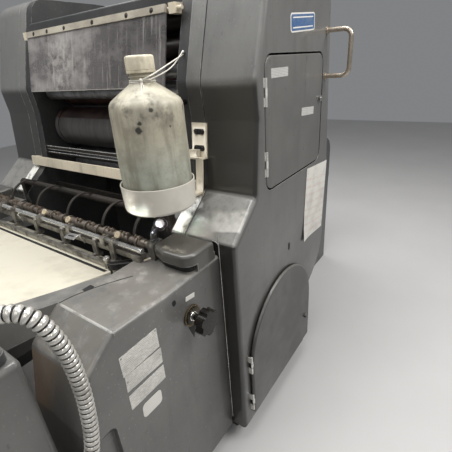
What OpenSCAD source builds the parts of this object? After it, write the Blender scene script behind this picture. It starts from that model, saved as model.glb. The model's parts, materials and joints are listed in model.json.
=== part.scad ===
// Small single-colour sheet-fed offset printing press.
// X is the way the paper runs, from the feeder at -X to the delivery at +X.
// The operator stands at -Y. The origin is on the floor under the printing unit.

/* [Printing unit] */
// Height of the side covers
unit_h = 1600; // [1560:5:1640]
// Distance from the centre plane to the outer face of a side cover
cover_face_y = 700; // [670:5:740]
// Distance from the centre plane to the seam between outer and inner cover
seam_y = 515; // [508:1:540]
// Width of the seam between outer and inner cover
seam_gap = 3; // [2:0.5:6]
// Distance from the centre plane to the inner face of a side frame
frame_in_y = 420; // [400:1:430]
// Thickness of a cast side frame
frame_t = 40; // [30:1:44]
// Thickness of the cover sheet
sheet_t = 4; // [2:0.5:6]
// Height of the lower edge of the covers above the floor
cover_low_z = 60; // [40:5:80]
// Place of the front face of the covers along X
front_x = -350; // [-370:1:-340]
// Place of the foot of the inclined shelf at its upper end, along X
shelf_x = -222; // [-235:1:-210]
// Height of the shelf's upper end
shelf_z = 937; // [925:1:950]
// Fall of the shelf towards the front, in degrees
shelf_fall = 39.5; // [35:0.5:42]
// Radius of the rounded edge between a cover's face and its sides
edge_r = 15; // [8:1:20]

/* [Doors and handle] */
// Width of the upper door
door_w = 428; // [380:1:440]
// Height of the upper door
door_h = 375; // [330:1:390]
// Place of the upper door's hinge edge along X
door_x = -160; // [-170:1:-150]
// Height of the upper door's lower edge
door_z = 938; // [930:1:960]
// Corner radius of the upper door
door_r = 35; // [15:1:60]
// Thickness of a door
door_t = 12; // [8:1:20]
// Radius of the rounded edge of a door
door_edge_r = 3; // [1:0.5:3.5]
// Length of a hinge
hinge_l = 74; // [60:1:90]
// Running gap around a door
door_gap = 5; // [5:0.5:8]
// Radius of the lower door's arched head
arch_r = 250; // [220:1:255]
// Place of the arch's centre along X
arch_x = -54; // [-58:1:-50]
// Height of the arch's centre
arch_z = 340; // [320:1:350]
// Height of the lower door's bottom edge
arch_low_z = 110; // [90:1:140]
// How far the lower door stands proud of the cover
arch_proud = 10; // [6:1:16]
// Radius of a hinge barrel
barrel_r = 3.5; // [3:0.5:5]
// Radius of a hinge pin
pin_r = 1.8; // [1.2:0.1:2.2]
// Diameter of the grab handle's tube
handle_d = 16; // [14:1:24]
// Reach of the grab handle from the cover
handle_reach = 86; // [70:1:110]
// Height of the grab handle between its arms
handle_h = 146; // [110:1:160]

/* [Cylinders and rollers] */
// Radius of the plate, blanket and impression cylinders
cyl_r = 87; // [82:0.5:87.5]
// Distance from the top of the covers down to the plate cylinder's axis
plate_drop = 350; // [340:1:355]
// Height between two cylinder axes
cyl_step_z = 170; // [170:1:176]
// Offset of the blanket cylinder towards the feeder
blanket_dx = 60; // [55:1:64]
// Radius of a cylinder journal
journal_r = 30; // [24:1:36]
// Radius of a roller shaft
shaft_r = 9; // [7:0.5:12]

/* [Infeed] */
// Distance from the centre plane to the outer face of a console
console_y = 646; // [620:1:660]
// Distance from the centre plane to the inner face of a console
console_in_y = 443; // [435:1:452]
// Height of the console top
console_z = 798; // [785:1:810]
// Place of the console's upper left corner along X
console_x = -735; // [-760:1:-710]
// Half width of the feed board
board_half_w = 380; // [340:1:390]
// Thickness of the feed board
board_t = 16; // [12:1:20]
// Fall of the feed board towards the printing unit, in degrees
board_fall = 12; // [9:0.5:14]
// Radius of the forwarding shaft
feed_shaft_r = 11; // [9:0.5:13]
// Radius of the forwarding discs
feed_disc_r = 24; // [18:1:26]

/* [Feeder and delivery] */
// Length of the feeder cabinets
feeder_l = 470; // [400:5:520]
// Height of the feeder cabinets
feeder_h = 860; // [820:5:900]
// Length of the delivery frames
delivery_l = 720; // [600:5:800]
// Height of the delivery frames
delivery_h = 850; // [780:5:880]

/* [Dampening bottle and hose] */
// Radius of the bottle
bottle_r = 97; // [90:1:98]
// Radius of the cup that the bottle stands in
cup_r = 103; // [102:1:112]
// Height of the cup
cup_h = 76; // [60:1:90]
// Wall of the cup
cup_t = 3; // [2:0.5:4]
// Diameter of the air hose
hose_d = 28; // [24:1:36]

/* [Hidden] */
$fn = 48;

// Small running gap between pieces that lie against each other
touch_gap = 0.3;
plate_z = unit_h - plate_drop;
frame_out_y = frame_in_y + frame_t;
rear_top_x = 320;
rear_x = 374;
rear_foot_x = 188;
wall_x = -197;
wall_z = 1152;
bend_x = -206;
bend_z = 1257;
front_lean = 17.6;
front_top_x = bend_x + (unit_h - bend_z) * tan(front_lean);

// Corner points of the covers' outline in the XZ plane as [x, z, radius], clockwise
unit_pts = [
    [front_x, cover_low_z, 6],
    [front_x, shelf_z - (shelf_x - front_x) * tan(shelf_fall), 22],
    [shelf_x, shelf_z, 25],
    [wall_x, wall_z, 60],
    [bend_x, bend_z, 60],
    [front_top_x, unit_h, 70],
    [rear_top_x, unit_h, 70],
    [rear_x, 890, 700],
    [rear_x - 18, 447, 230],
    [rear_foot_x, 358, 22],
    [rear_foot_x, cover_low_z, 6]];

function unit_of(v) = v / norm(v);
function turn(a) = a - 360 * round(a / 360);

// Number of straight pieces in a rounded corner
function steps(sweep, r) = max(1, ceil(abs(sweep) / (r > 100 ? 6 : 15) - 0.01));

// Points of one rounded corner b between its neighbours a and c
function corner(a, b, c, r) =
    let(u = unit_of([a[0] - b[0], a[1] - b[1]]), v = unit_of([c[0] - b[0], c[1] - b[1]]),
        half = acos(u * v) / 2, p = [b[0], b[1]],
        from = p + u * r / tan(half), m = p + unit_of(u + v) * r / sin(half),
        a0 = atan2(from[1] - m[1], from[0] - m[0]),
        to = p + v * r / tan(half),
        sweep = turn(atan2(to[1] - m[1], to[0] - m[0]) - a0), n = steps(sweep, r))
    r == 0 ? [p] : [for (i = [0:n]) m + r * [cos(a0 + sweep * i / n), sin(a0 + sweep * i / n)]];

// Outline from corner points [x, z, radius]
function outline(pts) = [for (i = [0:len(pts) - 1])
    each corner(pts[(i + len(pts) - 1) % len(pts)], pts[i], pts[(i + 1) % len(pts)], pts[i][2])];

function inward(a, b) = let(e = unit_of([b[0] - a[0], b[1] - a[1]])) [e[1], -e[0]];

// The same corner points moved inwards by d, for an outline drawn clockwise
function inset(pts, d) = [for (i = [0:len(pts) - 1])
    let(a = pts[(i + len(pts) - 1) % len(pts)], b = pts[i], c = pts[(i + 1) % len(pts)],
        n1 = inward(a, b), n2 = inward(b, c),
        side = cross([b[0] - a[0], b[1] - a[1]], [c[0] - b[0], c[1] - b[1]]) < 0 ? 1 : -1,
        p = [b[0], b[1]] + (n1 + n2) * d / (1 + n1 * n2))
    [p[0], p[1], b[2] == 0 ? 0 : max(b[2] - side * d, 1)]];

// Corner points of a rectangle with one corner radius
function rect(x0, x1, z0, z1, r) = [[x0, z0, r], [x0, z1, r], [x1, z1, r], [x1, z0, r]];

// Extrude a drawing in the XZ plane from y0 to y1
module along_y(y0, y1) {
    translate([0, y1, 0]) rotate([90, 0, 0]) linear_extrude(y1 - y0) children();
}

soft_n = 4;

// Rings of a rounded edge of radius r as [inset, y], from the face at y0 to the side walls
function edge_rings(y0, away, r) = [for (i = [0:soft_n]) let(t = 90 * i / soft_n)
    [r * (1 - sin(t)), y0 + away * r * (1 - cos(t))]];

// Solid through an outline's rings, one after another. Each end is closed by triangles
// round its middle, so that an outline with inward corners is covered once.
module skin(pts, rings, away) {
    rows = [for (g = rings) [for (p = outline(inset(pts, g[0]))) [p[0], g[1], p[1]]]];
    n = len(rows[0]);
    m = len(rows);
    one = [for (p = pts) 1];
    heart = [one * [for (p = pts) p[0]], one * [for (p = pts) p[1]]] / len(pts);
    ends = [for (row = [0, m - 1]) [heart[0], rings[row][1], heart[1]]];
    sides = concat(
        [for (k = [0:n - 1]) [m * n, k, (k + 1) % n]],
        [for (k = [0:n - 1]) [m * n + 1, (m - 1) * n + (k + 1) % n, (m - 1) * n + k]],
        [for (i = [0:m - 2]) for (k = [0:n - 1])
            [i * n + k, (i + 1) * n + k, (i + 1) * n + (k + 1) % n, i * n + (k + 1) % n]]);
    polyhedron(points = concat([for (row = rows) each row], ends),
        faces = away > 0 ? sides : [for (f = sides) [for (k = [1:len(f)]) f[len(f) - k]]]);
}

// Slab drawn in the XZ plane, with a rounded edge of radius r around its face at y0
module soft_slab(pts, y0, y1, r) {
    skin(pts, concat(edge_rings(y0, 1, r), [[0, y1]]), 1);
}

// Shell of the same form in a sheet of thickness t, open at y1, which may lie on either side of y0
module soft_shell(pts, y0, y1, r, t) {
    away = y1 > y0 ? 1 : -1;
    inner = edge_rings(y0 + away * t, away, r - t);
    skin(pts, concat(edge_rings(y0, away, r), [[0, y1], [t, y1]],
        [for (i = [0:soft_n]) inner[soft_n - i] + [t, 0]]), away);
}

// The same with the rounded edge on top, drawn in the XY plane
module soft_top(pts, z0, z1, r) {
    rotate([-90, 0, 0]) soft_slab(pts, -z1, -z0, r);
}

module rod_y(x, z, r, y0, y1) {
    translate([x, y1, z]) rotate([90, 0, 0]) cylinder(r = r, h = y1 - y0);
}

module block(x0, x1, y0, y1, z0, z1) {
    translate([x0, y0, z0]) cube([x1 - x0, y1 - y0, z1 - z0]);
}

module upright(x, y, r, z0, z1) {
    translate([x, y, z0]) cylinder(r = r, h = z1 - z0);
}

module on_drive_side() {
    mirror([0, 1, 0]) children();
}

module both_sides() {
    children();
    on_drive_side() children();
}

// Cylinder positions
blanket_z = plate_z - cyl_step_z;
impression_z = blanket_z - cyl_step_z;
journal_places = [[0, plate_z], [-blanket_dx, blanket_z], [0, impression_z]];
journal_fit = 0.05;
boss_r = journal_r + 16;
boss_t = 8;
body_end = frame_in_y - 16;

// Ink rollers as [x, z, radius], from the plate cylinder up to the fountain
roller_gap = 5.5;
form_r = 30;
form_reach = cyl_r + form_r + roller_gap;
ink_roller_list = [
    [form_reach * cos(62), plate_z + form_reach * sin(62), form_r],
    [form_reach * cos(116), plate_z + form_reach * sin(116), form_r],
    [4, plate_z + 155, 40],
    [76, plate_z + 184, 30],
    [-58, plate_z + 186, 28],
    [10, plate_z + 220, 22]];
seat_depth = 20;
damp_r = 28;
damp_reach = cyl_r + damp_r + roller_gap;
damp_roller_list = [
    [damp_reach * cos(188), plate_z + damp_reach * sin(188), damp_r],
    [-150, plate_z + 40, 20]];

base_x0 = -320;
base_x1 = 330;
base_top_z = 330;
base_floor_z = 120;
sill_in = 60;
feeder_x1 = -900;

module base_frame() {
    color("dimgray") {
        difference() {
            block(base_x0, base_x1, -frame_out_y, frame_out_y, 0, base_top_z);
            block(base_x0 - 1, base_x1 + 1, -frame_in_y, frame_in_y, base_floor_z, base_top_z + 1);
        }
        both_sides() {
            block(base_x0, rear_foot_x - sill_in, -cover_face_y + sill_in, -frame_out_y, 0, cover_low_z);
            block(feeder_x1 + touch_gap, base_x0, -console_y + sill_in, -console_in_y, 0, cover_low_z);
        }
    }
}

// How far the frame's edge lies behind the covers' outline
frame_inset = 3;

module frame_plate() {
    difference() {
        union() {
            along_y(-frame_out_y, -frame_in_y) polygon(outline(inset(unit_pts, frame_inset)));
            for (p = journal_places)
                rod_y(p[0], p[1], boss_r, -frame_in_y - 1, -frame_in_y + boss_t);
        }
        block(front_x - 1, rear_x + 1, -frame_out_y - 1, -frame_in_y + 1, 0, base_top_z);
        for (p = journal_places)
            rod_y(p[0], p[1], journal_r + journal_fit, -frame_out_y - 1, -frame_in_y + boss_t + 1);
        for (p = concat(ink_roller_list, damp_roller_list))
            rod_y(p[0], p[1], shaft_r, -frame_in_y - seat_depth, -frame_in_y + 1);
    }
}

module operator_frame() {
    color("dimgray") frame_plate();
}

module drive_frame() {
    color("dimgray") on_drive_side() frame_plate();
}

// One outer cover: a sheet shell that is open towards the frame, on side -1 or 1
module cover_shell(side) {
    soft_shell(unit_pts, side * cover_face_y, side * seam_y, edge_r, sheet_t);
}

function door_pts(grow) = rect(door_x - grow, door_x + door_w + grow, door_z - grow,
    door_z + door_h + grow, door_r + grow);

arch_foot_r = 6;

function arch_pts(grow) = let(r = arch_r + grow) [
    [arch_x - r, arch_low_z - grow, arch_foot_r + grow / 8],
    [arch_x - r, arch_z + r, r - 0.5],
    [arch_x + r, arch_z + r, r - 0.5],
    [arch_x + r, arch_low_z - grow, arch_foot_r + grow / 8]];

// How far the lower door laps over the edge of its opening
arch_lap = 36;

module operator_cover() {
    color("gray") difference() {
        cover_shell(-1);
        along_y(-cover_face_y - 1, -cover_face_y + sheet_t + 1) polygon(outline(door_pts(door_gap)));
        along_y(-cover_face_y - 1, -cover_face_y + sheet_t + 1) polygon(outline(arch_pts(-arch_lap)));
    }
}

module drive_cover() {
    color("gray") cover_shell(1);
}

// Thickness of the band between side frame and outer cover
band_t = 12;
lip_l = 20;

// Band that closes the gap between side frame and outer cover, with a lip behind the cover's edge
module inner_band() {
    difference() {
        along_y(-seam_y + seam_gap, -frame_out_y) polygon(outline(unit_pts));
        along_y(-seam_y, -frame_out_y + 1) polygon(outline(inset(unit_pts, band_t)));
    }
    difference() {
        along_y(-seam_y - lip_l, -seam_y + seam_gap)
            polygon(outline(inset(unit_pts, sheet_t + touch_gap)));
        along_y(-seam_y - lip_l - 1, -seam_y + seam_gap + 1) polygon(outline(inset(unit_pts, band_t)));
    }
}

module operator_inner_cover() {
    color("gray") inner_band();
}

module drive_inner_cover() {
    color("gray") on_drive_side() inner_band();
}

// Hinge axes of the two doors
leaf_w = 7;
leaf_t = 1.5;
knuckle_gap = 0.5;
knuckle_l = (hinge_l - 2 * knuckle_gap) / 3;
knuckle_step = knuckle_l + knuckle_gap;
door_axis_x = door_x - door_gap / 2;
door_axis_y = -cover_face_y - barrel_r - touch_gap;
arch_back_y = -cover_face_y - door_gap;
arch_front_y = arch_back_y - arch_proud;
arch_axis_x = arch_x - arch_r - barrel_r;
arch_axis_y = arch_front_y + barrel_r;
door_hinge_zs = [door_z + 84, door_z + 284];
arch_hinge_zs = [170, 352];

// Knuckle that turns with a door, bored for the pin
module moving_knuckle(x, y, z, leaf_x, leaf_y) {
    difference() {
        union() {
            upright(x, y, barrel_r, z - knuckle_l / 2, z + knuckle_l / 2);
            block(x, leaf_x, leaf_y - leaf_t, leaf_y, z - knuckle_l / 2, z + knuckle_l / 2);
        }
        upright(x, y, pin_r + 0.1, z - knuckle_l, z + knuckle_l);
    }
}

// Two fixed knuckles and the pin
module fixed_knuckles(x, y, z) {
    for (s = [-1, 1])
        upright(x, y, barrel_r, z + s * knuckle_step - knuckle_l / 2, z + s * knuckle_step + knuckle_l / 2);
    upright(x, y, pin_r, z - 1.5 * knuckle_l, z + 1.5 * knuckle_l);
}

lock_x = 244;
lock_z = 1165;
lock_r = 9;
catch_x = 153;
catch_z = 243;
catch_r = 10;
catch_l = 9;

module operator_door() {
    color("gray") {
        difference() {
            soft_slab(door_pts(0), -cover_face_y, -cover_face_y + door_t, door_edge_r);
            along_y(-cover_face_y + sheet_t, -cover_face_y + door_t + 1)
                polygon(outline(door_pts(-sheet_t * 2)));
        }
        for (z = door_hinge_zs)
            moving_knuckle(door_axis_x, door_axis_y, z, door_x + leaf_w, -cover_face_y);
    }
    color("white") rod_y(lock_x, lock_z, lock_r, -cover_face_y - catch_l, -cover_face_y + 1);
}

module arch_door() {
    color("gray") {
        difference() {
            soft_slab(arch_pts(0), arch_front_y, arch_back_y, arch_proud - 2);
            along_y(arch_front_y + sheet_t, arch_back_y + 1) polygon(outline(arch_pts(-arch_proud)));
        }
        for (z = arch_hinge_zs) difference() {
            upright(arch_axis_x, arch_axis_y, barrel_r, z - knuckle_l / 2, z + knuckle_l / 2);
            upright(arch_axis_x, arch_axis_y, pin_r + 0.1, z - knuckle_l, z + knuckle_l);
        }
        for (z = arch_hinge_zs) block(arch_axis_x + pin_r + 0.3, arch_axis_x + barrel_r + 2,
            arch_axis_y + 0.3, arch_axis_y + 2, z - knuckle_l / 2, z + knuckle_l / 2);
    }
    color("black") rod_y(catch_x, catch_z, catch_r, arch_front_y - catch_l, arch_front_y + 1);
}

module door_hinges() {
    color("silver") {
        for (z = door_hinge_zs) {
            fixed_knuckles(door_axis_x, door_axis_y, z);
            for (s = [-1, 1])
                block(door_axis_x - leaf_w - door_gap / 2, door_axis_x, -cover_face_y - leaf_t, -cover_face_y,
                    z + s * knuckle_step - knuckle_l / 2, z + s * knuckle_step + knuckle_l / 2);
        }
        for (z = arch_hinge_zs) {
            fixed_knuckles(arch_axis_x, arch_axis_y, z);
            for (s = [-1, 1])
                block(arch_axis_x - barrel_r, arch_axis_x - pin_r / 2, arch_axis_y, -cover_face_y,
                    z + s * knuckle_step - knuckle_l / 2, z + s * knuckle_step + knuckle_l / 2);
        }
    }
}

handle_x = 291;
handle_drop = 364;
handle_z = unit_h - handle_drop;
handle_bend = 26;

module grab_handle() {
    r = handle_d / 2;
    y_out = -cover_face_y - handle_reach;
    color("wheat") {
        for (z = [handle_z, handle_z + handle_h]) {
            rod_y(handle_x, z, r, y_out + handle_bend, -cover_face_y);
            rod_y(handle_x, z, r + 5, -cover_face_y - 4, -cover_face_y);
        }
        upright(handle_x, y_out, r, handle_z + handle_bend, handle_z + handle_h - handle_bend);
        for (s = [0, 1])
            translate([handle_x, y_out + handle_bend, s == 0 ? handle_z + handle_bend
                : handle_z + handle_h - handle_bend])
                rotate([0, 90, 0]) rotate([0, 0, s == 0 ? 270 : 180])
                    rotate_extrude(angle = 90) translate([handle_bend, 0]) circle(r = r);
    }
}

hood_z = unit_h - 97;
hood_x0 = -134;
hood_x1 = 312;
hood_lip = 33;
hood_rear_z = unit_h - 270;

module top_hood() {
    color("dimgray") along_y(-frame_in_y, frame_in_y) polygon(outline([
        [hood_x0, hood_z - hood_lip, 1], [hood_x0, hood_z, 6], [hood_x1 - 14, hood_z, 20],
        [hood_x1, hood_rear_z, 1], [hood_x1 - sheet_t, hood_rear_z, 1],
        [hood_x1 - 14 - sheet_t, hood_z - sheet_t, 16], [hood_x0 + sheet_t, hood_z - sheet_t, 2],
        [hood_x0 + sheet_t, hood_z - hood_lip, 1]]));
}

// Ink trough under the hood's front edge, closed by cheeks at its ends
trough_half_w = frame_in_y - 30;
trough_pts = [
    [-127, hood_z - 46, 3], [-127, hood_z - 10, 2], [-119, hood_z - 10, 2], [-113, hood_z - 34, 4],
    [-70, hood_z - 28, 2], [-66, hood_z - 34, 2], [-108, hood_z - 41, 4], [-114, hood_z - 46, 3]];
cheek_pts = [
    [-127, hood_z - 46, 3], [-127, hood_z - 10, 6], [-78, hood_z - 10, 8], [-66, hood_z - 34, 4],
    [-108, hood_z - 41, 4], [-114, hood_z - 46, 3]];

module ink_fountain() {
    color("slategray") {
        along_y(-trough_half_w, trough_half_w) polygon(outline(trough_pts));
        both_sides() along_y(-frame_in_y, -trough_half_w) polygon(outline(cheek_pts));
    }
}

module roller(p) {
    rod_y(p[0], p[1], p[2], -frame_in_y + 12, frame_in_y - 12);
    rod_y(p[0], p[1], shaft_r, -frame_in_y - seat_depth + 2, frame_in_y + seat_depth - 2);
}

module ink_rollers() {
    color("saddlebrown") for (p = ink_roller_list) roller(p);
}

module dampening_rollers() {
    color("silver") for (p = damp_roller_list) roller(p);
}

// Front guard: its sheet hangs in front of a hinge rod
guard_top = [-158, plate_z + 205];
guard_low = [-207, plate_z - 8];
guard_half_w = 387;
guard_t = 5;
knuckle_r = 10;
guard_off = knuckle_r + 0.5;
hinge_rod_r = 6;
strip_up = 9;
strip_down = 13;

module guard() {
    a = atan2(guard_top[0] - guard_low[0], guard_top[1] - guard_low[1]);
    l = norm(guard_top - guard_low);
    translate([guard_low[0], 0, guard_low[1]]) rotate([0, a, 0]) {
        color("lightblue") block(-guard_off - guard_t, -guard_off, -guard_half_w, guard_half_w,
            0, l + strip_up - 1);
        color("wheat") block(-guard_off - guard_t - 4, -guard_off - guard_t + 1, -guard_half_w + 1,
            guard_half_w - 1, l - strip_down, l + strip_up);
        color("wheat") for (y = [-guard_half_w + 30, guard_half_w - 30]) {
            difference() {
                rod_y(0, l, knuckle_r, y - 15, y + 15);
                rod_y(0, l, hinge_rod_r + 0.1, y - 16, y + 16);
            }
            block(-guard_off - 1, -hinge_rod_r - 2, y - 14, y + 14, l - 5, l + 5);
        }
    }
}

module guard_hinge() {
    color("wheat") {
        rod_y(guard_top[0], guard_top[1], hinge_rod_r, -frame_in_y - 16, frame_in_y + 16);
        both_sides() block(guard_top[0] - 14, guard_top[0] + 30, -frame_in_y + touch_gap,
            -frame_in_y + 25, guard_top[1] - 14, guard_top[1] + 14);
    }
}

// Bearer rings at a cylinder's ends, and the lengthwise gap that holds its clamps or grippers
bearer_l = 22;
groove_l = 6;
body_drop = 1.5;
clamp_w = 34;
clamp_depth = 18;

module cylinder_body(x, z) {
    difference() {
        union() {
            rod_y(x, z, cyl_r - body_drop, -body_end + bearer_l + groove_l, body_end - bearer_l - groove_l);
            rod_y(x, z, cyl_r - 8, -body_end + 1, body_end - 1);
            both_sides() rod_y(x, z, cyl_r, -body_end, -body_end + bearer_l);
        }
        block(x + cyl_r - clamp_depth, x + cyl_r + 1, -body_end + bearer_l + groove_l + 4,
            body_end - bearer_l - groove_l - 4, z - clamp_w / 2, z + clamp_w / 2);
    }
    rod_y(x, z, journal_r, -frame_out_y, frame_out_y);
}

module plate_cylinder() {
    color("darkred") cylinder_body(0, plate_z);
}

module blanket_cylinder() {
    color("darkslategray") cylinder_body(-blanket_dx, blanket_z);
}

module impression_cylinder() {
    color("silver") cylinder_body(0, impression_z);
}

wall_tilt = atan2(wall_x - shelf_x, wall_z - shelf_z);
bar_out = 18;
bar_t = 10;
bar_h = 40;
bar_half_w = 500;

// Place a piece on the front wall of the covers, just above the shelf
module on_front_wall() {
    translate([shelf_x, 0, shelf_z]) rotate([0, wall_tilt, 0]) children();
}

module cross_bars() {
    color("wheat") on_front_wall() {
        block(-bar_out - bar_t, -bar_out, -bar_half_w, bar_half_w, -10, -10 + bar_h);
        both_sides() block(-bar_out, 0, -bar_half_w, -frame_out_y - 2, 13, -12 + bar_h);
    }
}

bracket_t = 5;
bracket_z = 100;
bracket_h = 107;
bottle_x = -397;
bottle_y = -484;
arm_z = 938;
cup_z = arm_z + bracket_t + 1;

module bottle_bracket() {
    step_x = bar_out + bar_t + touch_gap + bracket_t;
    y0 = -seam_y - 7;
    y1 = -frame_out_y - 4;
    color("wheat") {
        on_front_wall() {
            difference() {
                block(-bracket_t, 0, y0, y1, bracket_z, bracket_z + bracket_h);
                for (z = [30, 75])
                    block(-bracket_t - 1, 1, y0 + 11, y1 - 10, bracket_z + z, bracket_z + z + 10);
            }
            block(-step_x, 0, y0, y1, bracket_z, bracket_z + bracket_t);
            block(-step_x, -step_x + bracket_t, y0 - 3, y0 + 22, -12, bracket_z + bracket_t);
            block(-bracket_t - 20, -bracket_t + 1, y0 + 26, y1 - 2, bracket_z + bracket_t, bracket_z + 27);
        }
        block(bottle_x - 70, shelf_x - step_x + 3, y0 - 3, y0 + 22, arm_z, cup_z);
    }
}

module bottle_cup() {
    color("wheat") translate([bottle_x, bottle_y, cup_z]) rotate_extrude() polygon(outline([
        [0, 0, 0], [0, cup_t, 0], [cup_r - cup_t - 3, cup_t, 8], [cup_r - cup_t, cup_h, 0],
        [cup_r, cup_h, 0], [cup_r - 3, 0, 12]]));
}

bottle_h = 346;
neck_r = 29;
neck_z = 323;
shoulder_z = 288;

module bottle() {
    color("darkseagreen") translate([bottle_x, bottle_y, cup_z + cup_t]) rotate_extrude()
        polygon(outline([[0, 0, 0], [0, bottle_h, 0], [neck_r, bottle_h, 2], [neck_r, neck_z, 8],
            [bottle_r - 2, shoulder_z, 26], [bottle_r, 120, 0], [bottle_r - 2, 0, 9]]));
}

cap_r = 36;
cap_h = 40;

module bottle_cap() {
    color("khaki") translate([bottle_x, bottle_y, cup_z + cup_t + bottle_h]) rotate_extrude()
        polygon(outline([[0, 0, 0], [0, cap_h, 0], [cap_r - 2, cap_h, 7], [cap_r, 0, 2]]));
}

housing_in_y = 500;
bearing_l = 22;
housing_z = 853;
skirt_z = 820;
housing_r = 38;
feed_shaft_x = -450;
feed_shaft_z = 832;
lever_y = -489;

// Black stud on the front edge of the frame, square to the wall, midway between its two bends
stud_z = (wall_z + bend_z) / 2;
wall_lean = atan2(bend_x - wall_x, bend_z - wall_z);
stud_x = wall_x + (stud_z - wall_z) * tan(wall_lean) + (frame_inset - touch_gap) / cos(wall_lean);

module throw_off_lever() {
    bend = [[-450, 862, 7], [-447, 876, 6], [-434, 888, 6], [-413, 890, 6]];
    color("black") {
        upright(bend[0][0], lever_y, 9, housing_z - 1, housing_z + 8);
        for (i = [0:len(bend) - 2]) hull() for (p = [bend[i], bend[i + 1]])
            translate([p[0], lever_y, p[1]]) sphere(r = p[2], $fn = 20);
        translate([-411, lever_y, 889]) sphere(r = 14);
        translate([stud_x, -frame_in_y - frame_t / 2, stud_z]) rotate([0, wall_lean - 90, 0])
            cylinder(r = 11, h = 23);
    }
}

// Plan of a side-lay housing as [x, y, radius]
housing_plan = [
    [-488, -console_y, housing_r], [-488, -550, 40], [-466, -housing_in_y, 12],
    [front_x - 24, -housing_in_y, 6], [front_x - 24, -console_y, 6]];

module side_lay_housings() {
    color("gray") both_sides() difference() {
        union() {
            soft_top(housing_plan, skirt_z, housing_z, 12);
            translate([0, 0, console_z]) linear_extrude(skirt_z - console_z + 1)
                polygon(outline(inset(housing_plan, 13)));
            block(-452, front_x - 24, -console_y, -console_y + 60, console_z, skirt_z + 1);
            block(feed_shaft_x - 20, feed_shaft_x + 20, -housing_in_y - 1, -housing_in_y + bearing_l,
                console_z, housing_z - 1);
        }
        rod_y(feed_shaft_x, feed_shaft_z, feed_shaft_r + journal_fit, -housing_in_y, 0);
    }
}

// Sleeves and collars of the forwarding shaft, as places along Y
sleeve_ys = [[-452, -425], [-380, -345], [-330, -272], [-226, -180], [-160, -72], [-30, 20], [50, 125],
    [175, 235], [265, 320], [370, 440]];
collar_ys = [-420, -338, -268, -230, -170, -68, -34, 35, 130, 170, 250, 325, 365, 445];

module forwarding_shaft() {
    color("slategray") {
        rod_y(feed_shaft_x, feed_shaft_z, feed_shaft_r, -housing_in_y + 1, housing_in_y - 1);
        for (s = sleeve_ys) rod_y(feed_shaft_x, feed_shaft_z, feed_shaft_r + 3, s[0], s[1]);
        for (y = collar_ys) rod_y(feed_shaft_x, feed_shaft_z, feed_disc_r - 6, y - 4, y + 4);
    }
}

// Square lay bar with the clamps that hang from it, and the flat bar of the front lays
lay_x = -487;
lay_z = 808;
lay_s = 9;
lay_foot = 14;
clamp_ys = [-350, -262, -81, 90, 250];
flat_x = -526;
flat_z = 773;
screw_y = -350;

module lay_bar() {
    color("silver") {
        block(lay_x - lay_s, lay_x + lay_s, -console_in_y, console_in_y, lay_z - lay_s, lay_z + lay_s);
        both_sides() block(lay_x - lay_foot, lay_x + lay_foot, -console_in_y - 28, -console_in_y + 4,
            console_z, lay_z + lay_s + 2);
        for (y = clamp_ys) difference() {
            block(lay_x - lay_s - 7, lay_x + 4, y - 11, y + 11, flat_z - 6, lay_z + lay_s + 5);
            block(lay_x - lay_s - 1, lay_x + 5, y - 12, y + 12, flat_z + 4, lay_z - lay_s + 1);
        }
        block(flat_x - 5, flat_x + 5, -370, 370, flat_z - 8, flat_z + 8);
        for (y = clamp_ys)
            block(flat_x, lay_x - lay_s - 6, y - 6, y + 6, flat_z - 4, flat_z + 4);
    }
    color("dimgray") {
        translate([flat_x, screw_y, flat_z]) rotate([0, 0, -50]) block(0, 105, -7, 7, -6, 6);
        upright(flat_x, screw_y, 10, flat_z - 7, flat_z + 16);
    }
}

// Sheet hoops: curved blades on a rod, and the thin bars across the mouth of the unit
hoop_x = -375;
hoop_z = 830;
hoop_r = 75;
hoop_rod = [-335, 880];
hoop_rod_r = 12.5;
hoop_w = 12;
hoop_ys = [-400, -249, -51, 150, 345];

function shelf_line(x) = shelf_z - (shelf_x - x) * tan(shelf_fall)
    - (frame_inset - touch_gap) / cos(shelf_fall);

module sheet_hoops() {
    color("dimgray") {
        rod_y(hoop_rod[0], hoop_rod[1], hoop_rod_r, -frame_out_y + 6, frame_out_y - 6);
        both_sides() along_y(-frame_out_y + 6, -frame_in_y - 6) polygon([
            [hoop_rod[0] - 15, shelf_line(hoop_rod[0] - 15)], [hoop_rod[0] - 15, hoop_rod[1] + 5],
            [hoop_rod[0] + 15, hoop_rod[1] + 5], [hoop_rod[0] + 15, shelf_line(hoop_rod[0] + 15)]]);
        block(-206, -194, -frame_in_y, frame_in_y, 823, 841);
        block(-206, -190, -frame_in_y, frame_in_y, 1000, 1010);
        rod_y(-198, 978, 5, -frame_in_y, frame_in_y);
    }
    color("silver") for (y = hoop_ys)
        translate([hoop_x, y + hoop_w / 2, hoop_z]) rotate([90, 0, 0]) rotate([0, 0, 52])
            rotate_extrude(angle = 112) translate([hoop_r - 2, 0]) square([4, hoop_w]);
}

board_low_x = -482;
board_low_z = 735.5;
board_l = 480;

module feed_board() {
    color("moccasin") translate([board_low_x, 0, board_low_z]) rotate([0, board_fall, 0])
        block(-board_l, 0, -board_half_w, board_half_w, 0, board_t);
}

module table_rails() {
    color("gray") both_sides() along_y(-console_in_y, -board_half_w - touch_gap) polygon(outline([
        [-950, 862, 4], [-706, 800, 10], [-507, 750, 10], [front_x, 750, 4],
        [front_x, 690, 4], [-950, 780, 4]]));
}

// Corner points of a console's side
console_pts = [
    [front_x, cover_low_z, 4], [-870, cover_low_z, 10], [-856, 600, 60],
    [-822, 748, 30], [console_x - 3, console_z + 10, 8], [-590, console_z, 60],
    [front_x, console_z, 12]];
console_edge_r = 13;
niche_pts = rect(-836, -788, 380, 578, 20);
niche_depth = 18;

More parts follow.
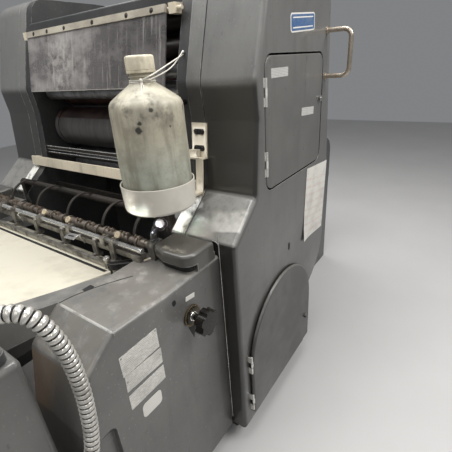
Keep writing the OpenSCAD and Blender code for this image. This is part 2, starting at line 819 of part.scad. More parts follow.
module infeed_console_operator() {
    color("gray") difference() {
        soft_slab(console_pts, -console_y, -console_in_y, console_edge_r);
        along_y(-console_y - 1, -console_y + niche_depth) polygon(outline(niche_pts));
    }
}

module infeed_console_drive() {
    color("gray") on_drive_side() soft_slab(console_pts, -console_y, -console_in_y, console_edge_r);
}

dial_x = -501;
dial_z = 684;
stem_l = 14;

module speed_dial() {
    color("silver") {
        rod_y(dial_x, dial_z, 31, -console_y - 4, -console_y);
        rod_y(dial_x, dial_z, 25, -console_y - 8, -console_y);
        rod_y(dial_x, dial_z, 12, -console_y - stem_l, -console_y);
    }
}

module star_knob() {
    color("saddlebrown") translate([dial_x, -console_y - stem_l - touch_gap, dial_z]) rotate([90, 0, 0]) {
        cylinder(r = 10, h = 26);
        translate([0, 0, 25]) difference() {
            cylinder(r = 37, h = 26);
            for (a = [0:60:359]) rotate(a) translate([43, 0, -1]) cylinder(r = 13, h = 28);
        }
    }
}

cabinet_y = console_y - 26;
cabinet_r = 14;

module feeder_cabinets() {
    color("gray") both_sides()
        soft_slab(rect(feeder_x1 - feeder_l, feeder_x1, 0, feeder_h, 10), -cabinet_y, -console_in_y,
            cabinet_r);
    color("gray") block(feeder_x1 - feeder_l + 20, feeder_x1 - feeder_l + 60, -console_in_y, console_in_y,
        60, 180);
}

pile_half_w = 310;
pile_in = 40;

module feeder_pile_board() {
    color("tan") block(feeder_x1 - feeder_l + pile_in + 30, feeder_x1 - pile_in, -pile_half_w, pile_half_w,
        420, 445);
    color("dimgray") both_sides()
        block(feeder_x1 - feeder_l + 180, feeder_x1 - 200, -console_in_y, -pile_half_w + 40, 390, 420);
}

head_x = feeder_x1 - feeder_l * 0.7;
head_z = feeder_h + 160;
sucker_ys = [-200, -100, 0, 100, 200];

module suction_head() {
    color("gray") {
        both_sides() block(head_x - 22, head_x + 22, -console_in_y, -console_in_y + 30, feeder_h - 60,
            head_z + 50);
        block(head_x - 26, head_x + 26, -console_in_y + 29, console_in_y - 29, head_z, head_z + 50);
        for (y = sucker_ys) {
            upright(head_x, y, 9, head_z - 50, head_z + 1);
            translate([head_x, y, head_z - 62]) cylinder(r1 = 15, r2 = 9, h = 13);
        }
    }
}

delivery_x0 = rear_x + 20;
delivery_x1 = delivery_x0 + delivery_l;
delivery_t = 25;
delivery_in_y = frame_out_y - delivery_t;
delivery_r = 90;

module delivery_frames() {
    color("dimgray") {
        both_sides() along_y(-frame_out_y, -delivery_in_y) difference() {
            polygon(outline([[delivery_x0, 0, 6], [delivery_x0, delivery_h, 12],
                [delivery_x1, delivery_h, delivery_r], [delivery_x1, 0, 6]]));
            polygon(outline(rect(delivery_x0 + 90, delivery_x1 - 90, 330, delivery_h - 210, 45)));
        }
        block(delivery_x0 + 30, delivery_x0 + 80, -delivery_in_y, delivery_in_y, 20, 80);
        both_sides() block(base_x1, delivery_x0 + 1, -frame_out_y, -delivery_in_y, 100, 300);
    }
}

// Delivery chains: two loops over sprockets, with gripper bars between them
chain_y = 390;
chain_w = 12;
chain_x0 = 150;
chain_x1 = delivery_x1 - 64;
chain_top = delivery_h - 50;
chain_low = chain_top - 100;
chain_r = 46;
chain_t = 10;
sprocket_r = chain_r - chain_t + 5;
chain_axis_z = chain_top - chain_r - 4;

module delivery_chain() {
    color("silver") {
        both_sides() along_y(-chain_y, -chain_y + chain_w) difference() {
            polygon(outline(rect(chain_x0, chain_x1, chain_low, chain_top, chain_r)));
            polygon(outline(rect(chain_x0 + chain_t, chain_x1 - chain_t, chain_low + chain_t,
                chain_top - chain_t, chain_r - chain_t)));
        }
        for (x = [chain_x0 + 150, (chain_x0 + chain_x1) / 2 + 100])
            block(x, x + 14, -chain_y + chain_w, chain_y - chain_w, chain_top - 12, chain_top);
    }
    color("dimgray") {
        rod_y(chain_x0 + 50, chain_axis_z, 12, -frame_in_y, frame_in_y);
        rod_y(chain_x1 - 50, chain_axis_z, 12, -delivery_in_y, delivery_in_y);
        both_sides() for (x = [chain_x0 + 50, chain_x1 - 50])
            rod_y(x, chain_axis_z, sprocket_r, -chain_y, -chain_y + chain_w);
    }
}

module delivery_pile_board() {
    color("tan") block(delivery_x0 + 130, delivery_x1 - 80, -pile_half_w, pile_half_w, 240, 265);
    color("dimgray") both_sides() block(delivery_x0 + 300, delivery_x1 - 250, -delivery_in_y,
        -pile_half_w + 40, 205, 240);
}

guard_sheet_t = 5;
guard_fall = 260;

module delivery_guard() {
    g = touch_gap;
    t = guard_sheet_t;
    color("gray") along_y(-frame_out_y, frame_out_y) polygon(outline([
        [delivery_x0 + 40, delivery_h + g, 0], [delivery_x0 + 40, delivery_h + g + t, 1],
        [delivery_x1 + g + t, delivery_h + g + t, delivery_r + g + t],
        [delivery_x1 + g + t, delivery_h - guard_fall, 1], [delivery_x1 + g, delivery_h - guard_fall, 0],
        [delivery_x1 + g, delivery_h + g, delivery_r + g]]));
}

// Air hose from the gland on the feeder cabinet's top down to the one on its side
gland_h = 20;
gland_r = hose_d / 2 + 6;
hose_top = [-930, -585];
hose_low = [-936, 500];
hose_pts = [
    [hose_top[0], hose_top[1], feeder_h + gland_h], [hose_top[0], hose_top[1], 908], [-926, -592, 934],
    [-918, -608, 956], [-902, -630, 966], [-884, -652, 962], [-870, -668, 942], [-860, -677, 910],
    [-853, -680, 875], [-848, -680, 838], [-846, -680, 796], [-846, -680, 755], [-849, -680, 714],
    [-854, -680, 668], [-864, -680, 622], [-879, -678, 580], [-897, -674, 545], [-914, -668, 518],
    [-928, -660, 503], [hose_low[0], -657, hose_low[1]], [hose_low[0], -cabinet_y - gland_h, hose_low[1]]];
hose_sides = 10;

// Ring of a tube around point i of the line p
function ring(p, i, r) =
    let(a = p[max(i - 1, 0)], c = p[min(i + 1, len(p) - 1)], t = unit_of(c - a),
        n = unit_of(cross(t, [0, 0, 1] + 0.3 * [0, 1, 0])), b = cross(t, n))
    [for (k = [0:hose_sides - 1]) p[i] + r * (n * cos(360 * k / hose_sides) + b * sin(360 * k / hose_sides))];

module hose_glands() {
    color("dimgray") {
        upright(hose_top[0], hose_top[1], gland_r, feeder_h, feeder_h + gland_h);
        rod_y(hose_low[0], hose_low[1], gland_r, -cabinet_y - gland_h, -cabinet_y);
    }
}

module air_hose() {
    n = hose_sides;
    m = len(hose_pts);
    color("silver") polyhedron(
        points = [for (i = [0:m - 1]) each ring(hose_pts, i, hose_d / 2)],
        faces = concat([[for (k = [0:n - 1]) n - 1 - k]], [[for (k = [0:n - 1]) (m - 1) * n + k]],
            [for (i = [0:m - 2]) for (k = [0:n - 1])
                [i * n + k, i * n + (k + 1) % n, (i + 1) * n + (k + 1) % n, (i + 1) * n + k]]));
}

base_frame();
operator_frame();
drive_frame();
operator_cover();
operator_inner_cover();
drive_cover();
drive_inner_cover();
operator_door();
arch_door();
door_hinges();
grab_handle();
top_hood();
ink_fountain();
ink_rollers();
dampening_rollers();
guard();
guard_hinge();
plate_cylinder();
blanket_cylinder();
impression_cylinder();
cross_bars();
bottle_bracket();
bottle_cup();
bottle();
bottle_cap();
throw_off_lever();
side_lay_housings();
forwarding_shaft();
lay_bar();
sheet_hoops();
feed_board();
table_rails();
infeed_console_operator();
infeed_console_drive();
speed_dial();
star_knob();
feeder_cabinets();
feeder_pile_board();
suction_head();
delivery_frames();
delivery_chain();
delivery_pile_board();
delivery_guard();
hose_glands();
air_hose();
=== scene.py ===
# %% [markdown]
# # A small offset printing press
#
# This lesson dresses a small sheet-fed offset printing press. The machine's bodies come from a
# fixed model in metres, with X along the paper's way, the operator at -Y and Z up. Here they get
# the paint, oil, dust and plastic of a press that has worked for years, and the soft or fine
# pieces that are easier to shape as meshes: the ribbed hose, the bottle, the lugs and labels.

# %% Load the frame
import json
import math
import random

import bpy
from mathutils import Matrix, Vector, noise


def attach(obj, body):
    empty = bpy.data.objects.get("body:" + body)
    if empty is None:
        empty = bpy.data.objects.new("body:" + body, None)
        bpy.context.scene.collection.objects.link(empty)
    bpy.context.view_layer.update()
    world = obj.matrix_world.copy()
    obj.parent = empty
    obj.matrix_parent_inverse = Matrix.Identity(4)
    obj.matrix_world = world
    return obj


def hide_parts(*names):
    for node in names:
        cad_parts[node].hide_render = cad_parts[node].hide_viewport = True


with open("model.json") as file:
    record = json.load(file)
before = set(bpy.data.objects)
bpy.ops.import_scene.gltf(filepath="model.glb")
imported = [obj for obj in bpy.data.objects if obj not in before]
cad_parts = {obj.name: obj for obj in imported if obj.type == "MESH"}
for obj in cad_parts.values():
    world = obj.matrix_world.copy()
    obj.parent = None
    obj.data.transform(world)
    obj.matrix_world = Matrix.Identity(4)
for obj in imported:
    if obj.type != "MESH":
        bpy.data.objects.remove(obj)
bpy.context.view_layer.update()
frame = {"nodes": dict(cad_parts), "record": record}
nodes = frame["nodes"]

# %% [markdown]
# ## The camera
#
# The photograph looks down at the press from beside the feeder, 1.3 m above the floor. A camera
# could be set by eye, but the lines of the covers run to three vanishing points, and those give
# the lens and the three angles at once.

# %% Place the camera
VIEW_YAW, VIEW_PITCH, VIEW_ROLL = (math.radians(a) for a in (36.157, 24.993, -4.125))
LENS_MM = 27.65
SENSOR_MM = 36.0
EYE = Vector((-1.05, -1.186, 1.30))


def aim(yaw, pitch, roll):
    """The camera's turn, from its yaw about Z, its fall below the horizon and its roll."""
    ahead = Vector((math.cos(yaw) * math.cos(pitch), math.sin(yaw) * math.cos(pitch), -math.sin(pitch)))
    right = Vector((math.sin(yaw), -math.cos(yaw), 0.0))
    up = right.cross(ahead)
    side = math.cos(roll) * right + math.sin(roll) * up
    top = math.cos(roll) * up - math.sin(roll) * right
    return Matrix((side, top, -ahead)).transposed().to_4x4()


camera = bpy.data.objects.new("camera", bpy.data.cameras.new("camera"))
camera.data.lens = LENS_MM
camera.data.sensor_width = SENSOR_MM
camera.data.sensor_fit = "HORIZONTAL"
camera.data.clip_start = 0.02
camera.matrix_world = Matrix.Translation(EYE) @ aim(VIEW_YAW, VIEW_PITCH, VIEW_ROLL)
bpy.context.scene.collection.objects.link(camera)
bpy.context.scene.camera = camera
print("the camera stands at", tuple(round(c, 3) for c in EYE), "m and has a lens of", LENS_MM, "mm")

# %% [markdown]
# ## Shader maths in plain expressions
#
# A finish is worked out from a few masks: where dust lies, where oil has run, where an edge is
# worn. Written as nodes one by one this is hard to read, so a small class wraps a socket, and
# an expression such as `0.4 + dust * 0.3` adds the Math nodes that it needs.


# %% A socket that takes part in sums
class Value:
    """The output of a node in a finish, for use in Python expressions."""

    def __init__(self, finish, socket):
        self.finish = finish
        self.socket = socket

    def maths(self, operation, a, b=0.0):
        """Adds a Math node to the finish."""
        return self.finish.node("ShaderNodeMath", {"operation": operation}, {0: a, 1: b})

    def __add__(self, other):
        return self.maths("ADD", self, other)

    def __radd__(self, other):
        return self.maths("ADD", other, self)

    def __sub__(self, other):
        return self.maths("SUBTRACT", self, other)

    def __rsub__(self, other):
        return self.maths("SUBTRACT", other, self)

    def __mul__(self, other):
        return self.maths("MULTIPLY", self, other)

    def __rmul__(self, other):
        return self.maths("MULTIPLY", other, self)

    def __truediv__(self, other):
        return self.maths("DIVIDE", self, other)

    def __gt__(self, other):
        return self.maths("GREATER_THAN", self, other)

    def __lt__(self, other):
        return self.maths("LESS_THAN", self, other)

    def part(self):
        """What is left after the whole number."""
        return self.maths("FRACT", self)


# %% [markdown]
# Every other node comes from one method. It takes the node's type, then its settings, which decide
# which sockets the node has, and then the values or links of those sockets. So the order that
# Blender needs is kept in one place.

# %% A material that grows node by node
COLOR_A, COLOR_B, COLOR_OUT = 6, 7, 2  # a Mix node's colour sockets, by their place


class Recipe:
    """A new material, and the one way in which nodes are added to it."""

    def __init__(self, name):
        self.material = bpy.data.materials.new(name)
        self.material.use_nodes = True
        self.tree = self.material.node_tree
        self.shader = self.tree.nodes["Principled BSDF"]

    def node(self, kind, settings=None, sockets=None, out=0):
        """Adds a node, with its settings first and then its sockets, and gives one of its outputs."""
        made = self.tree.nodes.new(kind)
        for key, value in (settings or {}).items():
            setattr(made, key, value)
        for key, value in (sockets or {}).items():
            self.feed(made.inputs[key], value)
        return Value(self, made.outputs[out])

    def feed(self, socket, value):
        """Links an output to a socket, or sets a constant there."""
        if isinstance(value, Value):
            self.tree.links.new(value.socket, socket)
        elif socket.type == "RGBA":
            socket.default_value = (*value, 1.0)
        else:
            socket.default_value = value

    def set(self, **sockets):
        """Feeds the shader's own sockets, with underscores for the spaces in their names."""
        for key, value in sockets.items():
            self.feed(self.shader.inputs[key.replace("_", " ")], value)

    def mix(self, mask, a, b):
        """Colour a where the mask is 0 and b where it is 1."""
        return self.node("ShaderNodeMix", {"data_type": "RGBA"}, {"Factor": mask, COLOR_A: a, COLOR_B: b},
                         out=COLOR_OUT)


# %% [markdown]
# A finish is painted with masks, numbers from 0 to 1 that change over a surface. They say where a
# point lies in the press's own frame, which way it faces, or how near an edge is, so a stain
# stays where it belongs on every piece that crosses it, and no picture has to be unwrapped.

# %% The masks
class Finish(Recipe):
    """A procedural material: its textures are read in the press's own frame, in metres."""

    def __init__(self, name):
        super().__init__(name)
        self.place = self.node("ShaderNodeTexCoord", out="Object")

    def scaled(self, x, y, z):
        """The place in the frame, stretched along each axis."""
        return self.node("ShaderNodeVectorMath", {"operation": "MULTIPLY"}, {0: self.place, 1: (x, y, z)})

    def noise(self, scale, detail=4.0, rough=0.55, place=None):
        """Cloudy noise from 0 to 1, with its scale in clouds to the metre."""
        return self.node("ShaderNodeTexNoise", {}, {"Vector": place or self.place, "Scale": scale,
                                                    "Detail": detail, "Roughness": rough})

    def ramp(self, value, low, high):
        """0 below low, 1 above high, smooth between. With low above high it falls instead."""
        return self.node("ShaderNodeMapRange", {"interpolation_type": "SMOOTHSTEP"},
                         {"Value": value, "From Min": low, "From Max": high})

    def between(self, value, low, high):
        """1 from low to high, with hard ends."""
        return (value > low) * (value < high)

    def along(self, axis):
        """One coordinate in the frame, in metres."""
        return self.node("ShaderNodeSeparateXYZ", {}, {0: self.place}, out="XYZ".index(axis))

    def facing(self, axis):
        """How far the surface faces along an axis, from -1 to 1."""
        normal = self.node("ShaderNodeNewGeometry", out="Normal")
        return self.node("ShaderNodeSeparateXYZ", {}, {0: normal}, out="XYZ".index(axis))

    def on_walls(self):
        """1 on upright faces and undersides."""
        return self.ramp(self.facing("Z"), 0.5, 0.3)

    def on_tops(self):
        """1 on what faces up, as far as a steep shelf."""
        return self.ramp(self.facing("Z"), 0.55, 0.72)

    def distance(self, place, point):
        """The distance between two places, in metres."""
        return self.node("ShaderNodeVectorMath", {"operation": "DISTANCE"}, {0: place, 1: point}, out="Value")

    def far_from(self, point):
        """The distance to a point of the frame."""
        return self.distance(self.place, point)

    def off_line(self, axis, point):
        """The distance to a line along an axis. The point on it has 0 for that axis."""
        return self.distance(self.scaled(*(float(axis != a) for a in "XYZ")), point)

    def edges(self, radius):
        """1 near a sharp edge, where paint wears through."""
        round_normal = self.node("ShaderNodeBevel", {"samples": 4}, {"Radius": radius})
        normal = self.node("ShaderNodeNewGeometry", out="Normal")
        match = self.node("ShaderNodeVectorMath", {"operation": "DOT_PRODUCT"},
                          {0: round_normal, 1: normal}, out="Value")
        return self.ramp(1 - match, 0.02, 0.18)

    def bump(self, height, strength, distance):
        """Raises the surface by a height that feeds the shader's Normal."""
        self.set(Normal=self.node("ShaderNodeBump", {},
                                  {"Height": height, "Strength": strength, "Distance": distance}))


# %% [markdown]
# ## Machine paint
#
# The covers carry a mid grey machine enamel. It is clouded and has an orange-peel skin, dark runs
# down the walls, so that noise is stretched along Z, pale paper dust on what faces up, dark nicks,
# and bright edges where sleeves rub. Each is one tone laid over the last by a mask.

# %% Clouds, runs, dust and nicks
CLOUD = (3.2, 5.0, 0.6)  # scale, detail and roughness of the paint's large clouds
DUST = (0.42, 0.39, 0.35)
SPECK = (0.5, 0.47, 0.42)
NICK = (0.05, 0.045, 0.04)
BRIGHT_EDGE = (0.42, 0.41, 0.39)
# The near-black of the painted shade that darkens walls along an axis.
SHADE_TONE = (0.012, 0.011, 0.009)


def enamel(made, color, dusty, dust, grease, wear):
    """The paint itself: clouds, dark runs, dust, pale specks and dark nicks."""
    lit = tuple(min(1.0, c * 1.25) for c in color)
    dark = tuple(c * 0.5 for c in color)
    runs = made.noise(7.0, 4.0, 0.6, made.scaled(3.0, 3.0, 0.45))
    specks = made.ramp(made.noise(140.0, 2.0, 0.5), 0.66, 0.74) * 0.35
    nicks = made.ramp(made.noise(75.0, 2.0, 0.4, made.scaled(1.0, 1.0, 0.5)), 0.71, 0.745) * 0.8
    base = made.mix(made.ramp(made.noise(*CLOUD), 0.35, 0.7), color, lit)
    base = made.mix(made.ramp(runs, 0.48, 0.76) * grease, base, dark)
    base = made.mix(dusty, base, DUST)
    base = made.mix(specks * dust, base, SPECK)
    return made.mix(nicks * wear, base, NICK)


def painted(name, color, dust=0.35, grease=0.35, wear=0.5, gloss=0.40, coat=0.35, marks=()):
    """Enamel on a machine panel, with the marks of its place and worn edges."""
    made = Finish(name)
    up = made.ramp(made.facing("Z"), 0.25, 0.95)
    dusty = (up * 0.75 + 0.12) * made.ramp(made.noise(9.0, 6.0, 0.7), 0.36, 0.72) * dust
    base = enamel(made, color, dusty, dust, grease, wear)
    for mark, *facts in marks:
        base = mark(made, base, *facts)
    edge = made.edges(0.004) * made.ramp(made.noise(34.0, 3.0, 0.6), 0.42, 0.6) * wear
    base = made.mix(edge, base, BRIGHT_EDGE)
    clouds = made.ramp(made.noise(*CLOUD), 0.4, 0.7)
    made.set(Base_Color=base, Roughness=gloss + dusty * 0.35 + clouds * 0.1,
             Specular_IOR_Level=0.5, Coat_Weight=coat, Coat_Roughness=0.11)
    made.bump(made.noise(420.0, 2.0, 0.5) * 0.5 + made.noise(60.0, 3.0, 0.6) * 0.5, 0.12, 0.0006)
    return made.material


# %% [markdown]
# Some marks belong to one place: a row of spots worn to metal that also draws a painted highlight,
# painted shade on the walls under the hood, a shelf gone pale from scuffing with a painted sheen,
# painted shade low down, a painted reflection on a shelf, a painted highlight up a front edge, paint
# worn through on the hinges' knuckles and a painted highlight along the console's front edge. They
# could be painted by hand on a texture. Here each is a small function that lays one tone over the
# paint, so a panel's paint is its colour and a list of its marks.

# %% Marks on walls and tops
def shaded(made, base, clear, full, tone):
    """A tone on walls that face the feeder, from the height clear to the height full: painted shade under the
    hood, and a paler tone high on the console's end.
    """
    to_feeder = made.ramp(made.facing("X"), -0.45, -0.75) * made.on_walls()
    return made.mix(made.ramp(made.along("Z"), clear, full) * to_feeder * 0.93, base, tone)


def painted_shade_along(made, base, axis, clean, dirty, amount):
    """Painted shade on walls, broken up in clouds, which grows along an axis."""
    darkening = made.ramp(made.along(axis), clean, dirty) * made.ramp(made.noise(*CLOUD), 0.15, 0.6) * amount
    return made.mix(darkening * made.on_walls(), base, SHADE_TONE)


def scuffed_and_sheen(made, base, low, high, tone):
    """Paint gone pale from scuffing where it faces up between two heights; on the shelves it is also a painted
    sheen.
    """
    shelf = made.on_tops() * made.between(made.along("Z"), low, high)
    return made.mix(shelf * made.ramp(made.noise(24.0, 5.0, 0.65), 0.66, 0.44) * 0.9, base, tone)


def painted_reflection(made, base, tone):
    """A painted reflection on the outer shelf: a paler patch whose edges follow the shelf, askew to X and Y."""
    beside = made.along("Y") - made.along("X") * 0.633
    ahead = made.along("X") + made.along("Y") * 0.165
    area = made.ramp(ahead, -0.4290, -0.4225) * made.ramp(ahead, -0.3650, -0.3770)
    area = area * made.ramp(beside, -0.3850, -0.4130) * made.on_tops()
    return made.mix(area * made.ramp(made.noise(17.0, 5.0, 0.6), 0.75, 0.35) * 0.95, base, tone)


# %% Marks along edges
def painted_edge_highlight(made, base, lean, offset, half, low, tone):
    """A painted highlight: a thin pale line up a cover's leaning front edge, above a height."""
    across = made.along("X") - made.along("Z") * lean - offset
    line = made.between(across, -half, half) * (made.along("Z") > low)
    line = line * made.ramp(made.facing("Y"), -0.02, -0.10)
    return made.mix(line * made.ramp(made.noise(18.0, 4.0, 0.6), 0.30, 0.50), base, tone)


def wear_and_highlight_line(made, base, axis, point, radius, low, high, tone):
    """Paint worn through along a line, close to it and between two places on its axis; along the console's front
    edge it is a painted highlight.
    """
    close = (made.off_line(axis, point) < radius) * made.between(made.along(axis), low, high)
    return made.mix(close * made.ramp(made.noise(26.0, 5.0, 0.7), 0.30, 0.52), base, tone)


def rubbed_and_highlight(made, base, points, radius, tone):
    """Ragged spots worn to metal round some points; on the housing their row also draws a painted highlight along
    its top.
    """
    ragged = made.noise(28.0, 5.0, 0.7) * 0.09
    for point in points:
        worn_and_lit = made.ramp(made.far_from(point) + ragged, radius + 0.05, radius + 0.03) * 0.8
        base = made.mix(worn_and_lit, base, tone)
    return base


# %% The greys of the covers and doors
GREY = (0.112, 0.110, 0.104)
SCUFF_AND_SHEEN = (0.88, 0.86, 0.79)
BARE = (0.80, 0.78, 0.73)
SHELF_LOW, SHELF_HIGH = 0.82, 0.945
# Painted shade: below the hood's bend, the walls that face the feeder go near black.
HOOD_SHADE = (shaded, 1.262, 1.235, (0.020, 0.019, 0.016))
# Painted shade: walls darken towards the floor.
LOW_SHADE = (painted_shade_along, "Z", 1.15, 0.42, 0.85)
KNUCKLE_REACH, KNUCKLE_HALF = 0.0075, 0.0125


def door_paint(name, color, x, y, knuckles):
    """A door's paint, worn through on the knuckles of its hinges."""
    return painted(name, color, marks=[LOW_SHADE] + [
        (wear_and_highlight_line, "Z", (x, y, 0.0), KNUCKLE_REACH, z - KNUCKLE_HALF, z + KNUCKLE_HALF, BARE) for z in knuckles])


machine_grey = painted("machine_grey", GREY)
upper_door_grey = door_paint("upper_door_grey", GREY, -0.1625, -0.7038, (1.022, 1.222))
arch_door_grey = door_paint("arch_door_grey", (0.098, 0.096, 0.091), -0.3075, -0.7115, (0.170, 0.352))
# The shelves' pale scuffing is partly a painted sheen of the light above them.
shelf_grey = painted("shelf_grey", GREY, wear=0.7, dust=0.6, coat=0.8, marks=[
    HOOD_SHADE, (scuffed_and_sheen, SHELF_LOW, SHELF_HIGH, SCUFF_AND_SHEEN)])
# Cover paint: painted shade under the hood and low down, a shelf with a painted sheen, a painted reflection on it
# and a painted highlight up the front edge.
cover_grey = painted("cover_grey", GREY, coat=0.7, marks=[
    HOOD_SHADE, (scuffed_and_sheen, SHELF_LOW, SHELF_HIGH, (0.235, 0.228, 0.208)), LOW_SHADE,
    (painted_reflection, (0.50, 0.485, 0.45)), (painted_edge_highlight, 0.326, -0.6339, 0.0011, 1.262, (0.55, 0.54, 0.51))])
print("cover paints:", cover_grey.name, shelf_grey.name, upper_door_grey.name, arch_door_grey.name)

# %% The other paints
HOUSING_TOP = 0.850
# The row of worn spots on the housing's top is partly a painted highlight along it.
HOUSING_SPOTS = [(-0.473, -0.527), (-0.469, -0.541), (-0.4695, -0.555), (-0.4695, -0.569), (-0.468, -0.584),
                 (-0.467, -0.598), (-0.466, -0.611)]
housing_grey = painted("housing_grey", (0.050, 0.047, 0.040), dust=0.12, wear=0.9, gloss=0.34, coat=0.6, marks=[
    (rubbed_and_highlight, [(x, y, HOUSING_TOP) for x, y in HOUSING_SPOTS], 0.007, (0.34, 0.31, 0.25))])
console_grey = painted("console_grey", GREY, dust=0.75, marks=[
    (shaded, 0.60, 0.79, (0.165, 0.150, 0.130)), (scuffed_and_sheen, 0.74, 0.83, (0.148, 0.138, 0.122)),
    # Painted shade: the console's walls darken towards the cover and towards the floor.
    (painted_shade_along, "X", -0.56, -0.36, 0.75), (painted_shade_along, "Z", 0.70, 0.30, 0.3),
    # Painted highlight along the console's top front edge.
    (wear_and_highlight_line, "Y", (-0.7385, 0.0, 0.8065), 0.0031, -0.642, -0.452, (0.33, 0.32, 0.295))])
dark_grey = painted("dark_grey", (0.035, 0.036, 0.038), dust=0.25)
cast_dark = painted("cast_dark", (0.014, 0.014, 0.014), dust=0.25, gloss=0.6)
cream_paint = painted("cream_paint", (0.60, 0.53, 0.41), dust=0.1, grease=0.6, wear=0.2, gloss=0.38)
print("other paints:", housing_grey.name, console_grey.name, dark_grey.name, cast_dark.name, cream_paint.name)

# %% [markdown]
# ## Steel, rubber and plastic
#
# Shafts and bars are turned steel under a brown film of oil, and rollers are rubber with ink dried
# on. All of them are one colour with patches of a second one, so two functions make the lot: one
# for metal, which also has fine rings from the lathe, and one for what is moulded.

# %% Bare steel
def steel(name, color, film, rough=0.3, film_amount=0.6):
    """Turned steel with fine rings round Y and a patchy oil film."""
    made = Finish(name)
    patch = made.ramp(made.noise(22.0, 5.0, 0.65), 0.38, 0.66) * film_amount
    rings = made.noise(1.0, 2.0, 0.5, made.scaled(8.0, 900.0, 8.0))
    base = made.mix(patch, color, film)
    made.set(Base_Color=base, Metallic=0.95 - patch * 0.5, Roughness=rough + patch * 0.3 + rings * 0.08)
    made.bump(rings, 0.08, 0.0004)
    return made.material


bright_steel = steel("bright_steel", (0.62, 0.61, 0.59), (0.16, 0.12, 0.08), 0.22, 0.5)
oily_steel = steel("oily_steel", (0.33, 0.29, 0.25), (0.05, 0.032, 0.022), 0.32, 0.85)
hoop_steel = steel("hoop_steel", (0.07, 0.064, 0.058), (0.03, 0.023, 0.019), 0.45, 0.85)
lay_steel = steel("lay_steel", (0.40, 0.385, 0.35), (0.055, 0.045, 0.036), 0.26, 0.85)
hinge_zinc = steel("hinge_zinc", (0.85, 0.84, 0.80), (0.45, 0.43, 0.38), 0.42, 0.5)
polished = steel("polished", (0.82, 0.82, 0.80), (0.20, 0.18, 0.15), 0.13, 0.5)
handle_steel = steel("handle_steel", (0.52, 0.45, 0.37), (0.22, 0.16, 0.11), 0.26, 0.6)
roller_steel = steel("roller_steel", (0.34, 0.34, 0.35), (0.05, 0.04, 0.04), 0.3, 0.6)
rusty_steel = steel("rusty_steel", (0.36, 0.30, 0.24), (0.060, 0.034, 0.021), 0.36, 0.9)
bronze = steel("bronze", (0.16, 0.12, 0.07), (0.03, 0.022, 0.014), 0.35, 0.7)
print("steels:", bright_steel.name, "for fittings,", oily_steel.name, "for shafts, and 8 more")


# %% Plain mouldings and rubber
def moulded(name, color, dirt, rough=0.45, dirt_amount=0.4, scale=18.0, bump=0.1, **sockets):
    """A moulded or rubber piece, soiled in patches."""
    made = Finish(name)
    patch = made.ramp(made.noise(scale, 5.0, 0.65), 0.4, 0.72) * dirt_amount
    made.set(Base_Color=made.mix(patch, color, dirt), Roughness=rough + patch * 0.25, **sockets)
    made.bump(made.noise(260.0, 2.0, 0.5), bump, 0.0005)
    return made.material


knob_black = moulded("knob_black", (0.012, 0.011, 0.011), (0.07, 0.06, 0.05), 0.22, 0.3)
knob_brown = moulded("knob_brown", (0.006, 0.005, 0.004), (0.016, 0.013, 0.010), 0.24, 0.5, 30.0,
                     Specular_IOR_Level=0.3)
disc_tan = moulded("disc_tan", (0.50, 0.42, 0.29), (0.22, 0.17, 0.11), 0.4, 0.5, 40.0)
slot_black = moulded("slot_black", (0.006, 0.006, 0.006), (0.02, 0.018, 0.016), 0.6, 0.4)
roller_rubber = moulded("roller_rubber", (0.02, 0.016, 0.015), (0.06, 0.035, 0.03), 0.4, 0.5)
plate_red = moulded("plate_red", (0.05, 0.025, 0.022), (0.015, 0.012, 0.012), 0.4, 0.7)
cup_plastic = moulded("cup_plastic", (0.62, 0.585, 0.515), (0.34, 0.31, 0.25), 0.5, 0.35, 9.0)
board_cream = moulded("board_cream", (0.58, 0.545, 0.445), (0.34, 0.30, 0.23), 0.4, 0.5, 7.0)
board_wood = moulded("board_wood", (0.30, 0.18, 0.09), (0.12, 0.08, 0.05), 0.6, 0.5, 8.0)
hose_grey = moulded("hose_grey", (0.66, 0.64, 0.59), (0.20, 0.185, 0.16), 0.22, 0.6, 30.0, Metallic=0.5)
hose_groove = moulded("hose_groove", (0.016, 0.015, 0.014), (0.05, 0.045, 0.04), 0.5, 0.4, 30.0)
string_white = moulded("string_white", (0.66, 0.63, 0.56), (0.36, 0.33, 0.27), 0.8, 0.5, 60.0, 0.5)
paper_white = moulded("paper_white", (0.72, 0.70, 0.65), (0.50, 0.47, 0.41), 0.7, 0.4, 12.0)
print("mouldings:", cup_plastic.name, "for the cup,", hose_grey.name, "for the hose, and 11 more")

# %% [markdown]
# ## The blanket and the clear guard
#
# The blanket is washed rubber: streaks of ink run round it, so the noise is fine along Y only. The
# guard is one clear sheet that has gone dull: fingerprints and dried drips make it nearly opaque,
# and it lies in shade towards the operator. Its fixing strip is cream. Sheet and strip could be two
# pieces, but as the finish knows where it is, one mask tells them apart.

# %% The blanket
INK_LINE = 1.1285  # the height above which the ink isn't washed off
blanket = Finish("blanket_rubber")
streaks = blanket.noise(1.0, 4.0, 0.6, blanket.scaled(6.0, 70.0, 6.0))
stains = blanket.noise(9.0, 5.0, 0.65)
washed = blanket.mix(blanket.ramp(streaks, 0.35, 0.7) * 0.6, (0.066, 0.062, 0.061), (0.125, 0.120, 0.116))
washed = blanket.mix(blanket.ramp(stains, 0.5, 0.72) * 0.5, washed, (0.036, 0.032, 0.031))
inked = blanket.along("Z") > INK_LINE
inky = blanket.mix(blanket.ramp(stains, 0.42, 0.62), (0.018, 0.013, 0.012), (0.048, 0.028, 0.025))
blanket.set(Base_Color=blanket.mix(inked, washed, inky), Roughness=0.36 + streaks * 0.2 - inked * 0.12)
blanket_rubber = blanket.material
print("the blanket is inked above", INK_LINE, "m")


# %% How the guard leans
def leaning(foot, head):
    """The way up a wall that runs along Y, and the way out of it, to the feeder."""
    up = (head - foot).normalized()
    return up, up.cross(Vector((0.0, 1.0, 0.0)))


